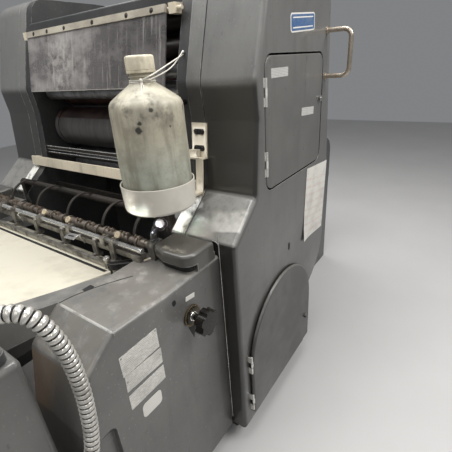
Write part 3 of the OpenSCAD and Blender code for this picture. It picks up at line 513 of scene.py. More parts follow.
GUARD_FOOT = Vector((-0.207, 0.0, 1.242))
GUARD_HEAD = Vector((-0.158, 0.0, 1.455))
GUARD_UP, GUARD_OUT = leaning(GUARD_FOOT, GUARD_HEAD)
GUARD_RISE = (GUARD_HEAD - GUARD_FOOT).length
STRIP_WIDTH = 0.0132
FOOT_WIDTH = 0.003
print("the guard is", round(GUARD_RISE, 3), "m high along its slope")

# %% The guard's sheet and strip
sheet = Finish("clear_guard")
height = (sheet.along("X") - GUARD_FOOT.x) * GUARD_UP.x + (sheet.along("Z") - GUARD_FOOT.z) * GUARD_UP.z
strip = height > GUARD_RISE - STRIP_WIDTH
smears = sheet.ramp(sheet.noise(5.0, 5.0, 0.65, sheet.scaled(1.0, 1.0, 1.6)), 0.42, 0.66)
drips = sheet.ramp(sheet.noise(1.0, 3.0, 0.6, sheet.scaled(9.0, 70.0, 5.0)), 0.55, 0.72)
scratches = sheet.ramp(sheet.noise(1.0, 3.0, 0.7, sheet.scaled(4.0, 160.0, 4.0)), 0.50, 0.75)
blotch = sheet.ramp(sheet.far_from((-0.18, 0.17, 1.335)) + sheet.noise(14.0, 4.0, 0.6) * 0.14, 0.21, 0.12)
blotch = blotch * sheet.ramp(sheet.noise(38.0, 4.0, 0.7), 0.40, 0.62)
shady = sheet.ramp(sheet.along("Y"), 0.05, -0.27)
film = sheet.mix(smears, (0.150, 0.139, 0.138), (0.310, 0.290, 0.280))
film = sheet.mix(shady * 0.62, film, (0.045, 0.041, 0.042))
film = sheet.mix(scratches * 0.3, film, (0.44, 0.42, 0.39))
film = sheet.mix(drips * 0.5, film, (0.42, 0.40, 0.37))
film = sheet.mix(blotch * 0.7, film, (0.50, 0.47, 0.44))
film = sheet.mix(height < FOOT_WIDTH, film, (0.36, 0.34, 0.31))
film = sheet.mix(strip, film, sheet.mix(smears, (0.27, 0.242, 0.195), (0.41, 0.375, 0.305)))
sheet.set(Base_Color=film, Roughness=0.24 + smears * 0.22 + strip * 0.1,
          Alpha=1 - (1 - strip) * (0.30 - smears * 0.16 - drips * 0.1))
clear_guard = sheet.material
print("the guard's sheet and strip share the finish", clear_guard.name)

# %% [markdown]
# ## The dial's metal
#
# The speed dial is a dull disc with a polished stem in its middle. They are one body, so the finish
# measures the distance from the dial's axis and is bright only near it.

# %% A bright stem in a dull dial
DIAL = Vector((-0.501, -0.646, 0.684))
STEM_R = 0.0135
dial = Finish("dial_metal")
stem = dial.off_line("Y", (DIAL.x, 0.0, DIAL.z)) < STEM_R
oiled = dial.ramp(dial.noise(60.0, 4.0, 0.6), 0.42, 0.62)
dial.set(Base_Color=dial.mix(stem, dial.mix(oiled, (0.035, 0.030, 0.024), (0.10, 0.085, 0.06)),
                             dial.mix(oiled, (0.80, 0.79, 0.76), (0.30, 0.28, 0.25))),
         Metallic=0.75 + stem * 0.2, Roughness=0.34 - stem * 0.2 + oiled * 0.1)
print("the dial's stem is", 2000 * STEM_R, "mm thick")

# %% [markdown]
# ## Dressing the machine's own bodies
#
# Every node gets the finish of its slot, and some get one of their own. A weld and a fine bevel
# give the plates a small radius, which is what catches light along the edges of real sheet metal,
# and weighted normals keep the large faces flat beside their rounded edges. As modifiers, they
# leave the body's own mesh alone.

# %% Ease the edges of a body
WELD_REACH = 0.00002
EDGE_RADIUS = 0.0009
EDGE_ANGLE = math.radians(35.0)


def ease_edges(thing):
    """Rounds the sharp edges of a body by modifiers."""
    weld = thing.modifiers.new("weld", "WELD")
    weld.merge_threshold = WELD_REACH
    bevel = thing.modifiers.new("bevel", "BEVEL")
    bevel.width = EDGE_RADIUS
    bevel.segments = 2
    bevel.limit_method = "ANGLE"
    bevel.angle_limit = EDGE_ANGLE
    normals = thing.modifiers.new("normals", "WEIGHTED_NORMAL")
    normals.keep_sharp = False
    normals.weight = 80


# %% Give each node its finish
FINISHES = dict(
    machine_grey=machine_grey, dark_grey=dark_grey, cast_dark=cast_dark, cream_paint=cream_paint,
    bright_steel=bright_steel, oily_steel=oily_steel, roller_steel=roller_steel,
    knob_black=knob_black, knob_brown=knob_brown, roller_rubber=roller_rubber, plate_red=plate_red,
    blanket_rubber=blanket_rubber, cup_plastic=cup_plastic, cap_plastic=cup_plastic,
    bottle_plastic=cup_plastic, board_cream=board_cream, board_wood=board_wood,
    hose_grey=hose_grey, clear_guard=clear_guard)
OWN_FINISH = dict(
    operator_inner_cover=shelf_grey, drive_inner_cover=shelf_grey, operator_cover=cover_grey,
    drive_cover=cover_grey, operator_door=upper_door_grey, arch_door=arch_door_grey,
    infeed_console_operator=console_grey, infeed_console_drive=console_grey,
    side_lay_housings=housing_grey, sheet_hoops=hoop_steel, lay_bar=lay_steel,
    grab_handle=handle_steel, door_hinges=hinge_zinc, speed_dial=dial.material)
for part in frame["record"]["subparts"]:
    body = nodes[part["node"]]
    body.data.materials.clear()
    body.data.materials.append(OWN_FINISH.get(part["node"], FINISHES[part["material_slot"]]))
    body.data.shade_smooth()
    ease_edges(body)

# %% [markdown]
# ## A stock of faces
#
# The small pieces are swept, turned or cut from plate. Blender's own primitives would need many
# objects and joins, so one class collects rings of points and becomes one mesh, and a whole row of
# lugs is a single piece. Sharp edges are marked by angle.

# %% Collect rings of points
class Stock:
    """The points and faces of one piece, before it becomes a mesh."""

    def __init__(self):
        self.points, self.faces, self.kinds = [], [], []

    def rings(self, rings, kind=0):
        """Joins rings of equal length with quads, and closes both ends."""
        start, n, last = len(self.points), len(rings[0]), len(rings) - 1
        self.points += [tuple(p) for ring in rings for p in ring]
        self.faces += [(start + i * n + k, start + i * n + (k + 1) % n,
                        start + (i + 1) * n + (k + 1) % n, start + (i + 1) * n + k)
                       for i in range(last) for k in range(n)]
        self.faces.append(tuple(start + k for k in reversed(range(n))))
        self.faces.append(tuple(start + last * n + k for k in range(n)))
        self.kinds += [kind] * (last * n + 2)

    def plate(self, outline, place, depth, edge=0.0004, kind=0):
        """A plate of a flat outline drawn anticlockwise, with its upper edge eased."""
        self.rings([[place @ Vector((x, y, z)) for x, y in shrunk(outline, d)]
                    for z, d in ((0.0, 0.0), (depth - edge, 0.0), (depth, edge))], kind)

    def turned(self, profile, place, segments=24, kind=0, ribs=0, rib_depth=0.0):
        """A turned piece: the profile is (radius, height) from its foot up."""
        rings = []
        for radius, height in profile:
            ring = []
            for k in range(segments):
                a = 2 * math.pi * k / segments
                r = radius - (rib_depth * (0.5 - 0.5 * math.cos(a * ribs)) ** 2 if ribs else 0.0)
                ring.append(place @ Vector((r * math.cos(a), r * math.sin(a), height)))
            rings.append(ring)
        self.rings(rings, kind)

    def piece(self, name, finishes, body, sharp=32.0):
        """Makes the mesh, gives it its finishes and puts it on a body of the press."""
        mesh = bpy.data.meshes.new(name)
        mesh.from_pydata(self.points, [], self.faces)
        for finish in finishes:
            mesh.materials.append(finish)
        mesh.polygons.foreach_set("material_index", self.kinds)
        mesh.shade_smooth()
        mesh.set_sharp_from_angle(angle=math.radians(sharp))
        thing = bpy.data.objects.new(name, mesh)
        bpy.context.scene.collection.objects.link(thing)
        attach(thing, body)
        print(name, len(self.faces), "faces")
        return thing


# %% Outlines, and places on a surface
def shrunk(outline, depth):
    """The outline, drawn anticlockwise, moved inwards."""
    moved = []
    for i, (x, y) in enumerate(outline):
        (ax, ay), (bx, by) = outline[i - 1], outline[(i + 1) % len(outline)]
        n1 = Vector((ay - y, x - ax)).normalized()
        n2 = Vector((y - by, bx - x)).normalized()
        step = (n1 + n2) * (depth / max(0.3, 1 + n1.dot(n2)))
        moved.append((x + step.x, y + step.y))
    return moved


def rounded(width, height, radius, steps=4):
    """A rectangle about the middle, with rounded corners, drawn anticlockwise."""
    corners = []
    for turn, (sx, sy) in enumerate(((1, 1), (-1, 1), (-1, -1), (1, -1))):
        for i in range(steps + 1):
            a = math.radians(90 * (turn + i / steps))
            corners.append((sx * (width / 2 - radius) + radius * math.cos(a),
                            sy * (height / 2 - radius) + radius * math.sin(a)))
    return corners


def facing(origin, out, up=(0, 0, 1), turn=0.0):
    """A place whose Z points out of a surface and whose Y points up along it."""
    z = Vector(out).normalized()
    y = (Vector(up) - z * Vector(up).dot(z)).normalized()
    return Matrix.Translation(origin) @ Matrix((y.cross(z), y, z)).transposed().to_4x4() @ \
        Matrix.Rotation(turn, 4, "Z")


# %% [markdown]
# ## The ribbed hose
#
# A flexible conduit for the pump air rises from the feeder, arches over and drops down the
# operator's console. It is a thin strip wound into ridges, so a plain tube would look wrong. A
# bevelled curve can't swell and shrink, so rings are carried along a smooth line in steps of an
# eighth of a ridge. Their radius follows the ridges, and the faces in the grooves are dark.

# %% Smooth lines and sweeps
CURVE_STEPS = 24  # short straight steps between two corners of a smooth line


def smooth_line(corners, step):
    """Evenly spaced points on a smooth line through the corners."""
    ends = [2 * corners[0] - corners[1]] + corners + [2 * corners[-1] - corners[-2]]
    dense = []
    for a, b, c, d in zip(ends, ends[1:], ends[2:], ends[3:]):
        for i in range(CURVE_STEPS):
            t = i / CURVE_STEPS
            dense.append(0.5 * (2 * b + (c - a) * t + (2 * a - 5 * b + 4 * c - d) * t ** 2
                                + (3 * b - a - 3 * c + d) * t ** 3))
    dense.append(corners[-1])
    runs = [0.0]
    for p, q in zip(dense, dense[1:]):
        runs.append(runs[-1] + (q - p).length)
    count = max(2, round(runs[-1] / step))
    line, i = [], 0
    for k in range(count + 1):
        goal = runs[-1] * k / count
        while i < len(dense) - 2 and runs[i + 1] < goal:
            i += 1
        share = (goal - runs[i]) / max(runs[i + 1] - runs[i], 1e-9)
        line.append(dense[i].lerp(dense[i + 1], min(1.0, share)))
    return line, runs[-1]


def swept(line, radius_at, sides):
    """Rings round a line, carried along it without twist."""
    rings, across, run = [], (line[1] - line[0]).orthogonal().normalized(), 0.0
    for i, point in enumerate(line):
        ahead = (line[min(i + 1, len(line) - 1)] - line[max(i - 1, 0)]).normalized()
        across = (across - ahead * across.dot(ahead)).normalized()
        beside = ahead.cross(across)
        run += (point - line[i - 1]).length if i else 0.0
        r = radius_at(run)
        rings.append([point + across * (r * math.cos(a)) + beside * (r * math.sin(a))
                      for a in (2 * math.pi * k / sides for k in range(sides))])
    return rings


# %% Sweep the hose
HOSE_CORNERS = [Vector(p) / 1000 for p in (
    (-930, -585, 880), (-930, -585, 908), (-926, -592, 934), (-918, -608, 956), (-902, -630, 966),
    (-884, -652, 962), (-870, -668, 942), (-860, -677, 910), (-853, -680, 875), (-848, -680, 838),
    (-846, -680, 796), (-846, -680, 755), (-849, -680, 714), (-854, -680, 668), (-864, -680, 622),
    (-879, -678, 580), (-897, -674, 545), (-914, -668, 518), (-928, -660, 503), (-936, -657, 500),
    (-936, -640, 500))]
HOSE_R = 0.0155
RIDGE = 0.0120
RIDGE_STEPS = 8
GROOVE_STEPS = (7, 0)
GROOVE_DEPTH = 0.0042
HOSE_SIDES = 20


def hose_radius(run):
    """Round ridges with narrow grooves between them."""
    return HOSE_R - GROOVE_DEPTH * (1 - abs(math.sin(math.pi * run / RIDGE)) ** 0.9)


hose_line, hose_length = smooth_line(HOSE_CORNERS, RIDGE / RIDGE_STEPS)
hose_stock = Stock()
hose_stock.rings(swept(hose_line, hose_radius, HOSE_SIDES))
hose_stock.kinds = [int(i // HOSE_SIDES % RIDGE_STEPS in GROOVE_STEPS)
                    for i in range(len(hose_stock.faces) - 2)] + [0, 0]
hose = hose_stock.piece("ribbed_hose", [hose_grey, hose_groove], "press", 75.0)
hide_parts("air_hose")
[tuple(p) for p in hose_line[::8]] + [tuple(hose_line[-1])]
print("the hose is", round(hose_length, 3), "m long")

# %% [markdown]
# ## The bottle in its cup
#
# Damping solution comes from a dull plastic bottle that stands in a cup. It is blow-moulded: a
# plain turned shape would look like glass, so it is turned from one profile and its body is then
# dented a little by noise. Grime gathers on the shoulder, dirt has run down the wall, and the
# level of the liquid shows through it.

# %% The bottle's plastic
BOTTLE_FOOT = Vector((-0.397, -0.484, 0.947))
bottle_finish = Finish("bottle_plastic")
rise = bottle_finish.along("Z") - BOTTLE_FOOT.z
grime = bottle_finish.ramp(bottle_finish.noise(13.0, 6.0, 0.7), 0.36, 0.62)
sooty = bottle_finish.ramp(bottle_finish.noise(22.0, 4.0, 0.6), 0.50, 0.66)
collar = bottle_finish.ramp(rise, 0.205, 0.262) * bottle_finish.ramp(rise, 0.325, 0.300)
tracks = bottle_finish.ramp(
    bottle_finish.noise(1.0, 4.0, 0.6, bottle_finish.scaled(26.0, 26.0, 3.0)), 0.44, 0.68)
wall = bottle_finish.mix(bottle_finish.ramp(rise, 0.10, 0.22), (0.43, 0.45, 0.38), (0.48, 0.44, 0.34))
wall = bottle_finish.mix(grime * 0.6, wall, (0.24, 0.225, 0.17))
wall = bottle_finish.mix(tracks * 0.6, wall, (0.17, 0.155, 0.115))
wall = bottle_finish.mix(collar * sooty * 0.8, wall, (0.09, 0.082, 0.064))
# Painted highlight: the clean parts of the shoulder are lightened.
wall = bottle_finish.mix(collar * (1 - sooty) * 0.10, wall, (0.54, 0.51, 0.43))
blots = bottle_finish.noise(150.0, 3.0, 0.6)
for spot, reach in (((-0.4790, -0.5330, 1.170), 0.0135), ((-0.4765, -0.5370, 1.186), 0.0095),
                    ((-0.4550, -0.5600, 1.214), 0.0105), ((-0.4160, -0.5780, 1.172), 0.0075)):
    near = bottle_finish.ramp(bottle_finish.far_from(spot) + blots * 0.008, reach + 0.001, reach - 0.003)
    wall = bottle_finish.mix(near * 0.92, wall, (0.022, 0.020, 0.018))
bottle_finish.set(Base_Color=wall, Roughness=0.42 + grime * 0.2)
bottle_finish.bump(bottle_finish.noise(120.0, 3.0, 0.5), 0.1, 0.001)
cap_plastic = moulded("cap_plastic", (0.66, 0.60, 0.46), (0.20, 0.15, 0.10), 0.45, 0.6, 26.0)

# %% Turn the bottle and its cap
BOTTLE_PROFILE = [
    (0.078, 0.0005), (0.090, 0.003), (0.0945, 0.011), (0.0950, 0.016), (0.0938, 0.018), (0.0950, 0.020),
    (0.0955, 0.05), (0.0960, 0.08), (0.0965, 0.11), (0.0965, 0.14), (0.0962, 0.17), (0.0960, 0.20),
    (0.0957, 0.23), (0.0956, 0.250), (0.0953, 0.262), (0.0945, 0.270), (0.0928, 0.2765), (0.0898, 0.2820),
    (0.0855, 0.2865), (0.0760, 0.2935), (0.0650, 0.3010), (0.0540, 0.3085), (0.0430, 0.3158),
    (0.0350, 0.3215), (0.0308, 0.3265), (0.0288, 0.333), (0.0288, 0.3365), (0.0318, 0.3375),
    (0.0318, 0.3405), (0.0288, 0.3415), (0.0288, 0.3459)]
bottle_stock = Stock()
bottle_stock.turned(BOTTLE_PROFILE, Matrix.Translation(BOTTLE_FOOT), 72)
bottle_piece = bottle_stock.piece("bottle_shell", [bottle_finish.material], "press", 60.0)
BODY_R = 0.06  # points nearer the axis than this belong to the neck or the foot's middle
for vertex in bottle_piece.data.vertices:
    side = Vector((vertex.co.x - BOTTLE_FOOT.x, vertex.co.y - BOTTLE_FOOT.y, 0.0))
    if side.length > BODY_R:
        dent = noise.noise(vertex.co * 9.0) * 0.0022 + noise.noise(vertex.co * 31.0) * 0.0005
        vertex.co -= side.normalized() * (dent + 0.0004)
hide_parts("bottle")

CAP_FOOT = Matrix.Translation(BOTTLE_FOOT + Vector((0, 0, 0.346)))
cap_stock = Stock()
cap_stock.turned([(0.0340, 0.0), (0.0358, 0.0012), (0.0358, 0.006), (0.0345, 0.0068), (0.0358, 0.0076)],
                 CAP_FOOT, 120)
cap_stock.turned([(0.0354, 0.0076), (0.0354, 0.033), (0.0348, 0.0362), (0.0330, 0.0384), (0.0295, 0.0395),
                  (0.0240, 0.0396), (0.0232, 0.0390), (0.0080, 0.0390)],
                 CAP_FOOT, 160, ribs=16, rib_depth=0.0007)
cap_piece = cap_stock.piece("bottle_screw_cap", [cap_plastic], "press", 50.0)
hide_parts("bottle_cap")

# %% [markdown]
# ## A string round the neck
#
# The bottle is tied to the frame: two turns round the neck, two strands to a screw in the front
# wall, and two loose ends that hang from the knot. Curve objects would do for these, but the
# hose's sweep is at hand, and it puts every strand and the knot in one mesh.

# %% Tie the bottle
HOOK = Vector((-0.181, -0.440, 1.338))
NECK = BOTTLE_FOOT + Vector((0.0, 0.0, 0.3295))
tie = Stock()


def round_neck(angle, radius=0.0308, rise=0.0):
    """A point round the neck, at an angle in degrees, a distance from its axis and a height."""
    a = math.radians(angle)
    return NECK + Vector((radius * math.cos(a), radius * math.sin(a), rise))


def strand(corners, radius=0.0018):
    """Sweeps one strand of string along its corners."""
    tie.rings(swept(smooth_line(corners, 0.004)[0], lambda run: radius, 8))


for turn, height in ((0.0310, 0.0004), (0.0318, -0.0034)):
    strand([round_neck(-140 + 360 * i / 12, turn, height + 0.0006 * math.sin(i)) for i in range(13)])
for dip, lift, out in ((0.003, 0.0120, 0.0405), (0.011, 0.0030, 0.0370)):
    off = round_neck(-92, out, lift)
    middle = off.lerp(HOOK, 0.55) - Vector((0, 0, dip))
    strand([round_neck(-140, 0.0345, 0.0), round_neck(-118, (out + 0.0345) / 2, lift * 0.45), off, middle,
            HOOK + Vector((0, 0, dip - 0.008))])
for angle, reach, drop in ((-139, 0.066, -0.031), (-133, 0.054, -0.024)):
    strand([round_neck(-138, 0.0350), round_neck(angle, 0.043, -0.0115),
            round_neck(angle, (0.043 + reach) / 2, (drop - 0.012) / 2), round_neck(angle, reach, drop)], 0.0016)
tie.turned([(0.0016, -0.0052), (0.0046, -0.0024), (0.0050, 0.0016), (0.0020, 0.0050)],
           Matrix.Translation(round_neck(-139, 0.0350)), 10)
tie.piece("bottle_tie", [string_white], "press", 60.0)

# %% [markdown]
# ## Screws
#
# A slotted screw is a low dome with a slot that has filled with dirt. The slot is drawn as a dark
# bar a hair above the dome, which is cheaper than cutting it and reads the same. No two slots on
# the guard's strip point the same way, so their turns are drawn at random from a fixed seed.


# %% Slotted screws
def slotted(stock, origin, out, radius, turn=0.0, kind=0, slot_kind=1):
    """Adds one slotted screw head to a stock."""
    place = facing(origin, out, (0, 1, 0) if abs(Vector(out).z) > 0.9 else (0, 0, 1), turn)
    stock.turned([(radius * 1.35, -0.0006), (radius * 1.35, 0.0006), (radius * 1.02, 0.0007), (radius, 0.0012),
                  (radius * 0.86, radius * 0.34), (radius * 0.5, radius * 0.48), (radius * 0.1, radius * 0.5)],
                 place, 20, kind)
    stock.plate(rounded(radius * 1.5, radius * 0.34, radius * 0.05, 1),
                place @ Matrix.Translation((0, 0, radius * 0.36)), radius * 0.165, 0.00002, slot_kind)


# %% Screws on the guard's strip and for the string
STRIP_SCREW_PROUD = 0.0193
random.seed(4)
strip_screws = Stock()
for y in (-0.331, -0.220, -0.046, 0.121, 0.235, 0.331):
    spot = GUARD_FOOT + GUARD_UP * (GUARD_RISE - 0.002) + GUARD_OUT * STRIP_SCREW_PROUD + Vector((0, y, 0))
    slotted(strip_screws, spot, GUARD_OUT, 0.0056, random.uniform(-1.5, 1.5))
strip_screws.piece("guard_strip_screws", [hoop_steel, slot_black], "guard")

frame_screws = Stock()
slotted(frame_screws, HOOK + Vector((-0.0005, 0, 0.001)), (-1, 0, 0.32), 0.0042, 0.4)
frame_screws.piece("tie_screw", [bright_steel, slot_black], "press")

# %% [markdown]
# ## Labels and plates
#
# The press carries rating plates, a sticker and a taped sheet. Here they are plain: thin plates of
# the same size and place, with ruled lines or nothing at all on them. The rules could be thin
# pieces, but a mask that repeats along Z draws them all and breaks them up as print looks from
# afar.


# %% Ruled plates and paper
def ruled(name, color, line, pitch, low, high, broken=0.5, rough=0.45):
    """A pale plate with broken grey lines between two heights, as a form's rules look from afar."""
    made = Finish(name)
    worn = made.ramp(made.noise(16.0, 5.0, 0.65), 0.42, 0.7) * 0.45
    base = made.mix(worn, color, tuple(c * 0.55 for c in color))
    z = made.along("Z") + made.along("X") * 0.16
    inside = made.between(z, low, high)
    dashes = made.ramp(made.noise(1.0, 1.0, 0.4, made.scaled(140.0, 1.0, 900.0)), broken - 0.04, broken + 0.04)
    rules = ((z / pitch).part() < 0.38) * inside * dashes * 0.6
    made.set(Base_Color=made.mix(rules, base, line), Roughness=rough + worn * 0.3)
    return made.material


plate_rules = ruled("rating_plate", (0.68, 0.66, 0.61), (0.20, 0.19, 0.18), 0.0048, 0.4, 0.9, 0.47)
sheet_rules = ruled("taped_paper", (0.66, 0.64, 0.59), (0.52, 0.34, 0.31), 0.031, 0.68, 0.93, 0.56, 0.7)
label_rules = ruled("door_label", (0.52, 0.51, 0.48), (0.30, 0.29, 0.28), 0.0075, 1.0, 1.4, 0.50)
sticker_blue = moulded("sticker_blue", (0.05, 0.12, 0.27), (0.20, 0.24, 0.30), 0.35, 0.6, 40.0)

SIDE = (0, -1, 0)


def side_plate(stock, x, y, z, width, height, radius, tilt=0.0, depth=0.0008, kind=0):
    """A plate with rounded corners on a wall that faces the operator, tilted by some degrees."""
    stock.plate(rounded(width, height, radius), facing((x, y, z), SIDE, turn=math.radians(tilt)), depth, 0.0002,
                kind)


CONSOLE_Y, COVER_Y = -0.646, -0.700
print("plates lie on the console at", CONSOLE_Y, "m and on the cover at", COVER_Y, "m")

# %% Rating plates and labels on the console
console_plates = Stock()
for x, z, width, height, tilt in ((-0.684, 0.7065, 0.114, 0.0585, 0), (-0.682, 0.6505, 0.114, 0.0465, -3),
                                  (-0.683, 0.5935, 0.114, 0.0455, -1)):
    side_plate(console_plates, x, CONSOLE_Y, z, width, height, 0.002, tilt)
for x, z in ((-0.736, 0.731), (-0.632, 0.731), (-0.734, 0.659), (-0.630, 0.653)):
    slotted(console_plates, (x, CONSOLE_Y - 0.0006, z), SIDE, 0.0019, x * 9, 1, 2)
console_plates.piece("rating_plates", [plate_rules, bright_steel, slot_black], "press")

paper_labels = Stock()
side_plate(paper_labels, -0.681, CONSOLE_Y, 0.531, 0.064, 0.044, 0.011, -3, 0.0006)
side_plate(paper_labels, -0.497, CONSOLE_Y, 0.742, 0.036, 0.014, 0.001, -9, 0.0006)
side_plate(paper_labels, -0.812, CONSOLE_Y + 0.018, 0.536, 0.036, 0.026, 0.002, 0, 0.0006, 1)
paper_labels.piece("console_labels", [paper_white, machine_grey], "press")

# %% Door labels and the sticker
LABEL_DEPTH = 0.0005
door_labels = Stock()
side_plate(door_labels, -0.072, COVER_Y, 1.268, 0.107, 0.025, 0.001, 0, LABEL_DEPTH)
side_plate(door_labels, 0.142, COVER_Y, 1.134, 0.105, 0.026, 0.001, -4, LABEL_DEPTH)
door_labels.piece("door_labels", [label_rules], "operator_door")

sticker = Stock()
side_plate(sticker, 0.085, COVER_Y, 1.399, 0.180, 0.050, 0.010, 4, 0.0006, 1)
side_plate(sticker, 0.085, COVER_Y - 0.0006, 1.399, 0.172, 0.042, 0.008, 4, 0.0003, 0)
for z in (1.412, 1.386):
    side_plate(sticker, 0.085, COVER_Y - 0.0009, z, 0.150, 0.0035, 0.001, 4, 0.0002, 1)
sticker.piece("plain_sticker", [sticker_blue, paper_white], "press")

# %% [markdown]
# The taped sheet is real paper: it bellies away from the cover by a millimetre or two, and its
# lower outer corner has come loose. A flat plate would catch the light all at once, so it is a
# grid of points with a lift worked out for each.

# %% The taped sheet
PAPER_W, PAPER_H, PAPER_T = 0.210, 0.297, 0.0003
ACROSS, UP = 14, 20
paper_place = facing((0.246, COVER_Y - 0.0008, 0.768), SIDE, turn=math.radians(-4.5))
paper = Stock()


def paper_lift(u, v):
    """How far the paper stands off the cover, u and v from -1 to 1."""
    belly = 0.0022 * (1 - u * u) * (1 - v * v)
    corner = 0.0075 * max(0.0, (-u - v - 1.1) / 0.9) ** 2
    return belly + corner


for layer in (0, 1):
    for j in range(UP + 1):
        for i in range(ACROSS + 1):
            u, v = 2 * i / ACROSS - 1, 2 * j / UP - 1
            paper.points.append(tuple(paper_place @ Vector((
                u * PAPER_W / 2, v * PAPER_H / 2, paper_lift(u, v) + layer * PAPER_T))))
row = ACROSS + 1
below = row * (UP + 1)
for j in range(UP):
    for i in range(ACROSS):
        a = j * row + i
        paper.faces.append((below + a, below + a + 1, below + a + row + 1, below + a + row))
        paper.faces.append((a + row, a + row + 1, a + 1, a))
border = list(range(ACROSS)) + [j * row + ACROSS for j in range(UP)]
border += [UP * row + i for i in range(ACROSS, 0, -1)] + [j * row for j in range(UP, 0, -1)]
for a, b in zip(border, border[1:] + border[:1]):
    paper.faces.append((a, b, below + b, below + a))
paper.kinds = [0] * len(paper.faces)
paper.piece("taped_sheet", [sheet_rules], "press", 60.0)

# %% [markdown]
# ## Slots, holes and seams
#
# Small dark features sit on the covers: a spy hole and a seam on the console, the pointer under the
# dial, a plug in the cover, a slot in the side lay's rail and two slots in the bottle's bracket. Two
# more are painted shade: a painted shadow on the board before the flat bar and a near-black band on
# the housing's skirt, under its lid. Cutting the features needs a Boolean for each, which can spoil a
# body's mesh. A thin dark inlay in the same place reads the same.

# %% Inlays in the side walls
inlays = Stock()
side_plate(inlays, -0.557, CONSOLE_Y, 0.761, 0.013, 0.017, 0.006, 8, 0.0004)
pointer = [(-0.013, 0.000), (0.004, -0.046), (0.020, 0.004)]
inlays.plate(pointer, facing((-0.505, CONSOLE_Y, 0.652), SIDE), 0.0009, 0.0003)
side_plate(inlays, 0.004, COVER_Y, 0.668, 0.013, 0.030, 0.006, 0, 0.0010)
print("inlays in the walls:", len(inlays.faces), "faces")

# %% The housing's skirt and the seam in the console's top
# Painted shade: a near-black band in the recess under the housing's lid.
SKIRT_FOOT, SKIRT_HEAD, SKIRT_T = 0.7985, 0.8196, 0.0006
SKIRT = [(-0.4525, -0.6336), (-0.4590, -0.6322), (-0.4665, -0.6275), (-0.4720, -0.6205), (-0.4750, -0.6120),
         (-0.4756, -0.6030), (-0.4756, -0.5560), (-0.4740, -0.5430), (-0.4700, -0.5320), (-0.4560, -0.5075)]
inlays.rings([[Vector((x - thick, y, z)) for thick, z in (
    (0.0, SKIRT_FOOT), (SKIRT_T, SKIRT_FOOT), (SKIRT_T, SKIRT_HEAD), (0.0, SKIRT_HEAD))] for x, y in SKIRT])


def console_top(x):
    """The height of the console's top along X."""
    return 0.798 + max(0.0, -0.590 - x) * 10 / 148


SEAM = [(-0.7378, -0.4472), (-0.730, -0.4475), (-0.715, -0.4480), (-0.699, -0.4495), (-0.670, -0.456),
        (-0.636, -0.466), (-0.600, -0.480), (-0.557, -0.503)]
SEAM_SECTION = ((-0.0015, -0.0004), (-0.0015, 0.0001), (0.0015, 0.0001), (0.0015, -0.0004))
seam_line = smooth_line([Vector((x, y, console_top(x) + 0.0004)) for x, y in SEAM], 0.006)[0]
inlays.rings([[p + Vector((0, dy, dz)) for dy, dz in SEAM_SECTION] for p in seam_line])
print("with the skirt and the seam:", len(inlays.faces), "faces")

# %% Slots in the rail and the bracket, and the flat bar's painted shadow
RAIL_SLOT = facing((-0.667, -0.4500, 0.7870), (0, 0, 1), (0, 1, 0))
BAR_SHADOW = facing((-0.5490, 0.0, 0.7662), (0.208, 0, 0.978), (0, 1, 0))
WALL_FOOT, WALL_HEAD = Vector((-0.222, 0.0, 0.937)), Vector((-0.197, 0.0, 1.152))
WALL_UP, WALL_OUT = leaning(WALL_FOOT, WALL_HEAD)
BRACKET_RISES = (0.131, 0.181)


def on_wall(rise, proud, y):
    """A place up the inner cover's front wall, some way in front of it."""
    return facing(WALL_FOOT + WALL_UP * rise + WALL_OUT * proud + Vector((0, y, 0)), WALL_OUT, WALL_UP)


inlays.plate(rounded(0.042, 0.0165, 0.002), RAIL_SLOT, 0.0166, 0.0004)
# Painted shadow: a dark strip on the board along the front of the flat bar.
inlays.plate(rounded(0.0130, 0.735, 0.002), BAR_SHADOW, 0.0006, 0.0002)
for rise in BRACKET_RISES:
    inlays.plate(rounded(0.0420, 0.0165, 0.0080, 5), on_wall(rise, 0.0052, -0.4925), 0.0005, 0.0002)
inlays.piece("dark_inlays", [slot_black], "press")

# %% The bracket's bolts
BOLT = [(0.0068, -0.001), (0.0068, 0.0018), (0.0058, 0.0028), (0.0034, 0.0029), (0.0030, 0.0016)]
bracket_bolts = Stock()
for rise in BRACKET_RISES:
    for y in (-0.4815, -0.5030):
        bracket_bolts.turned(BOLT, on_wall(rise, 0.0058, y), 20)
bracket_bolts.piece("bracket_bolts", [knob_black], "press")

# %% The door's lock
lock = Stock()
lock.turned([(0.0078, 0.0), (0.0078, 0.0012), (0.0068, 0.0020), (0.0030, 0.0022)],
            facing((0.241, -0.7088, 1.164), SIDE))
side_plate(lock, 0.241, -0.7110, 1.164, 0.0026, 0.0100, 0.0008, 12, 0.0003, 1)
side_plate(lock, 0.226, -0.7000, 1.167, 0.012, 0.016, 0.0015, 0, 0.0020)
lock.piece("door_lock", [bright_steel, slot_black], "operator_door")

# %% [markdown]
# ## The dial's rim
#
# A bronze rim stands round the dial, with a tick every 10 degrees and a longer one at every third.
# Ticks could be drawn by a mask on the rim, but raised ones catch the light as stamped ones do.

# %% The dial's rim and ticks
TICKS = 36
dial_rim = Stock()
dial_rim.turned([(0.0312, 0.0), (0.0312, 0.0046), (0.0306, 0.0053), (0.0285, 0.0053), (0.0270, 0.0044)],
                facing(DIAL, SIDE), 64, 0)
for k in range(TICKS):
    a = 2 * math.pi * k / TICKS
    out = Vector((math.sin(a), 0, math.cos(a)))
    length = 0.0034 if k % 3 == 0 else 0.0020
    place = facing(DIAL + out * 0.0288 + Vector((0, -0.0053, 0)), SIDE, out)
    dial_rim.plate(rounded(0.0005, length, 0.0002, 1), place, 0.0002, 0.00005, 1)
dial_rim.piece("dial_rim", [bronze, disc_tan], "press")

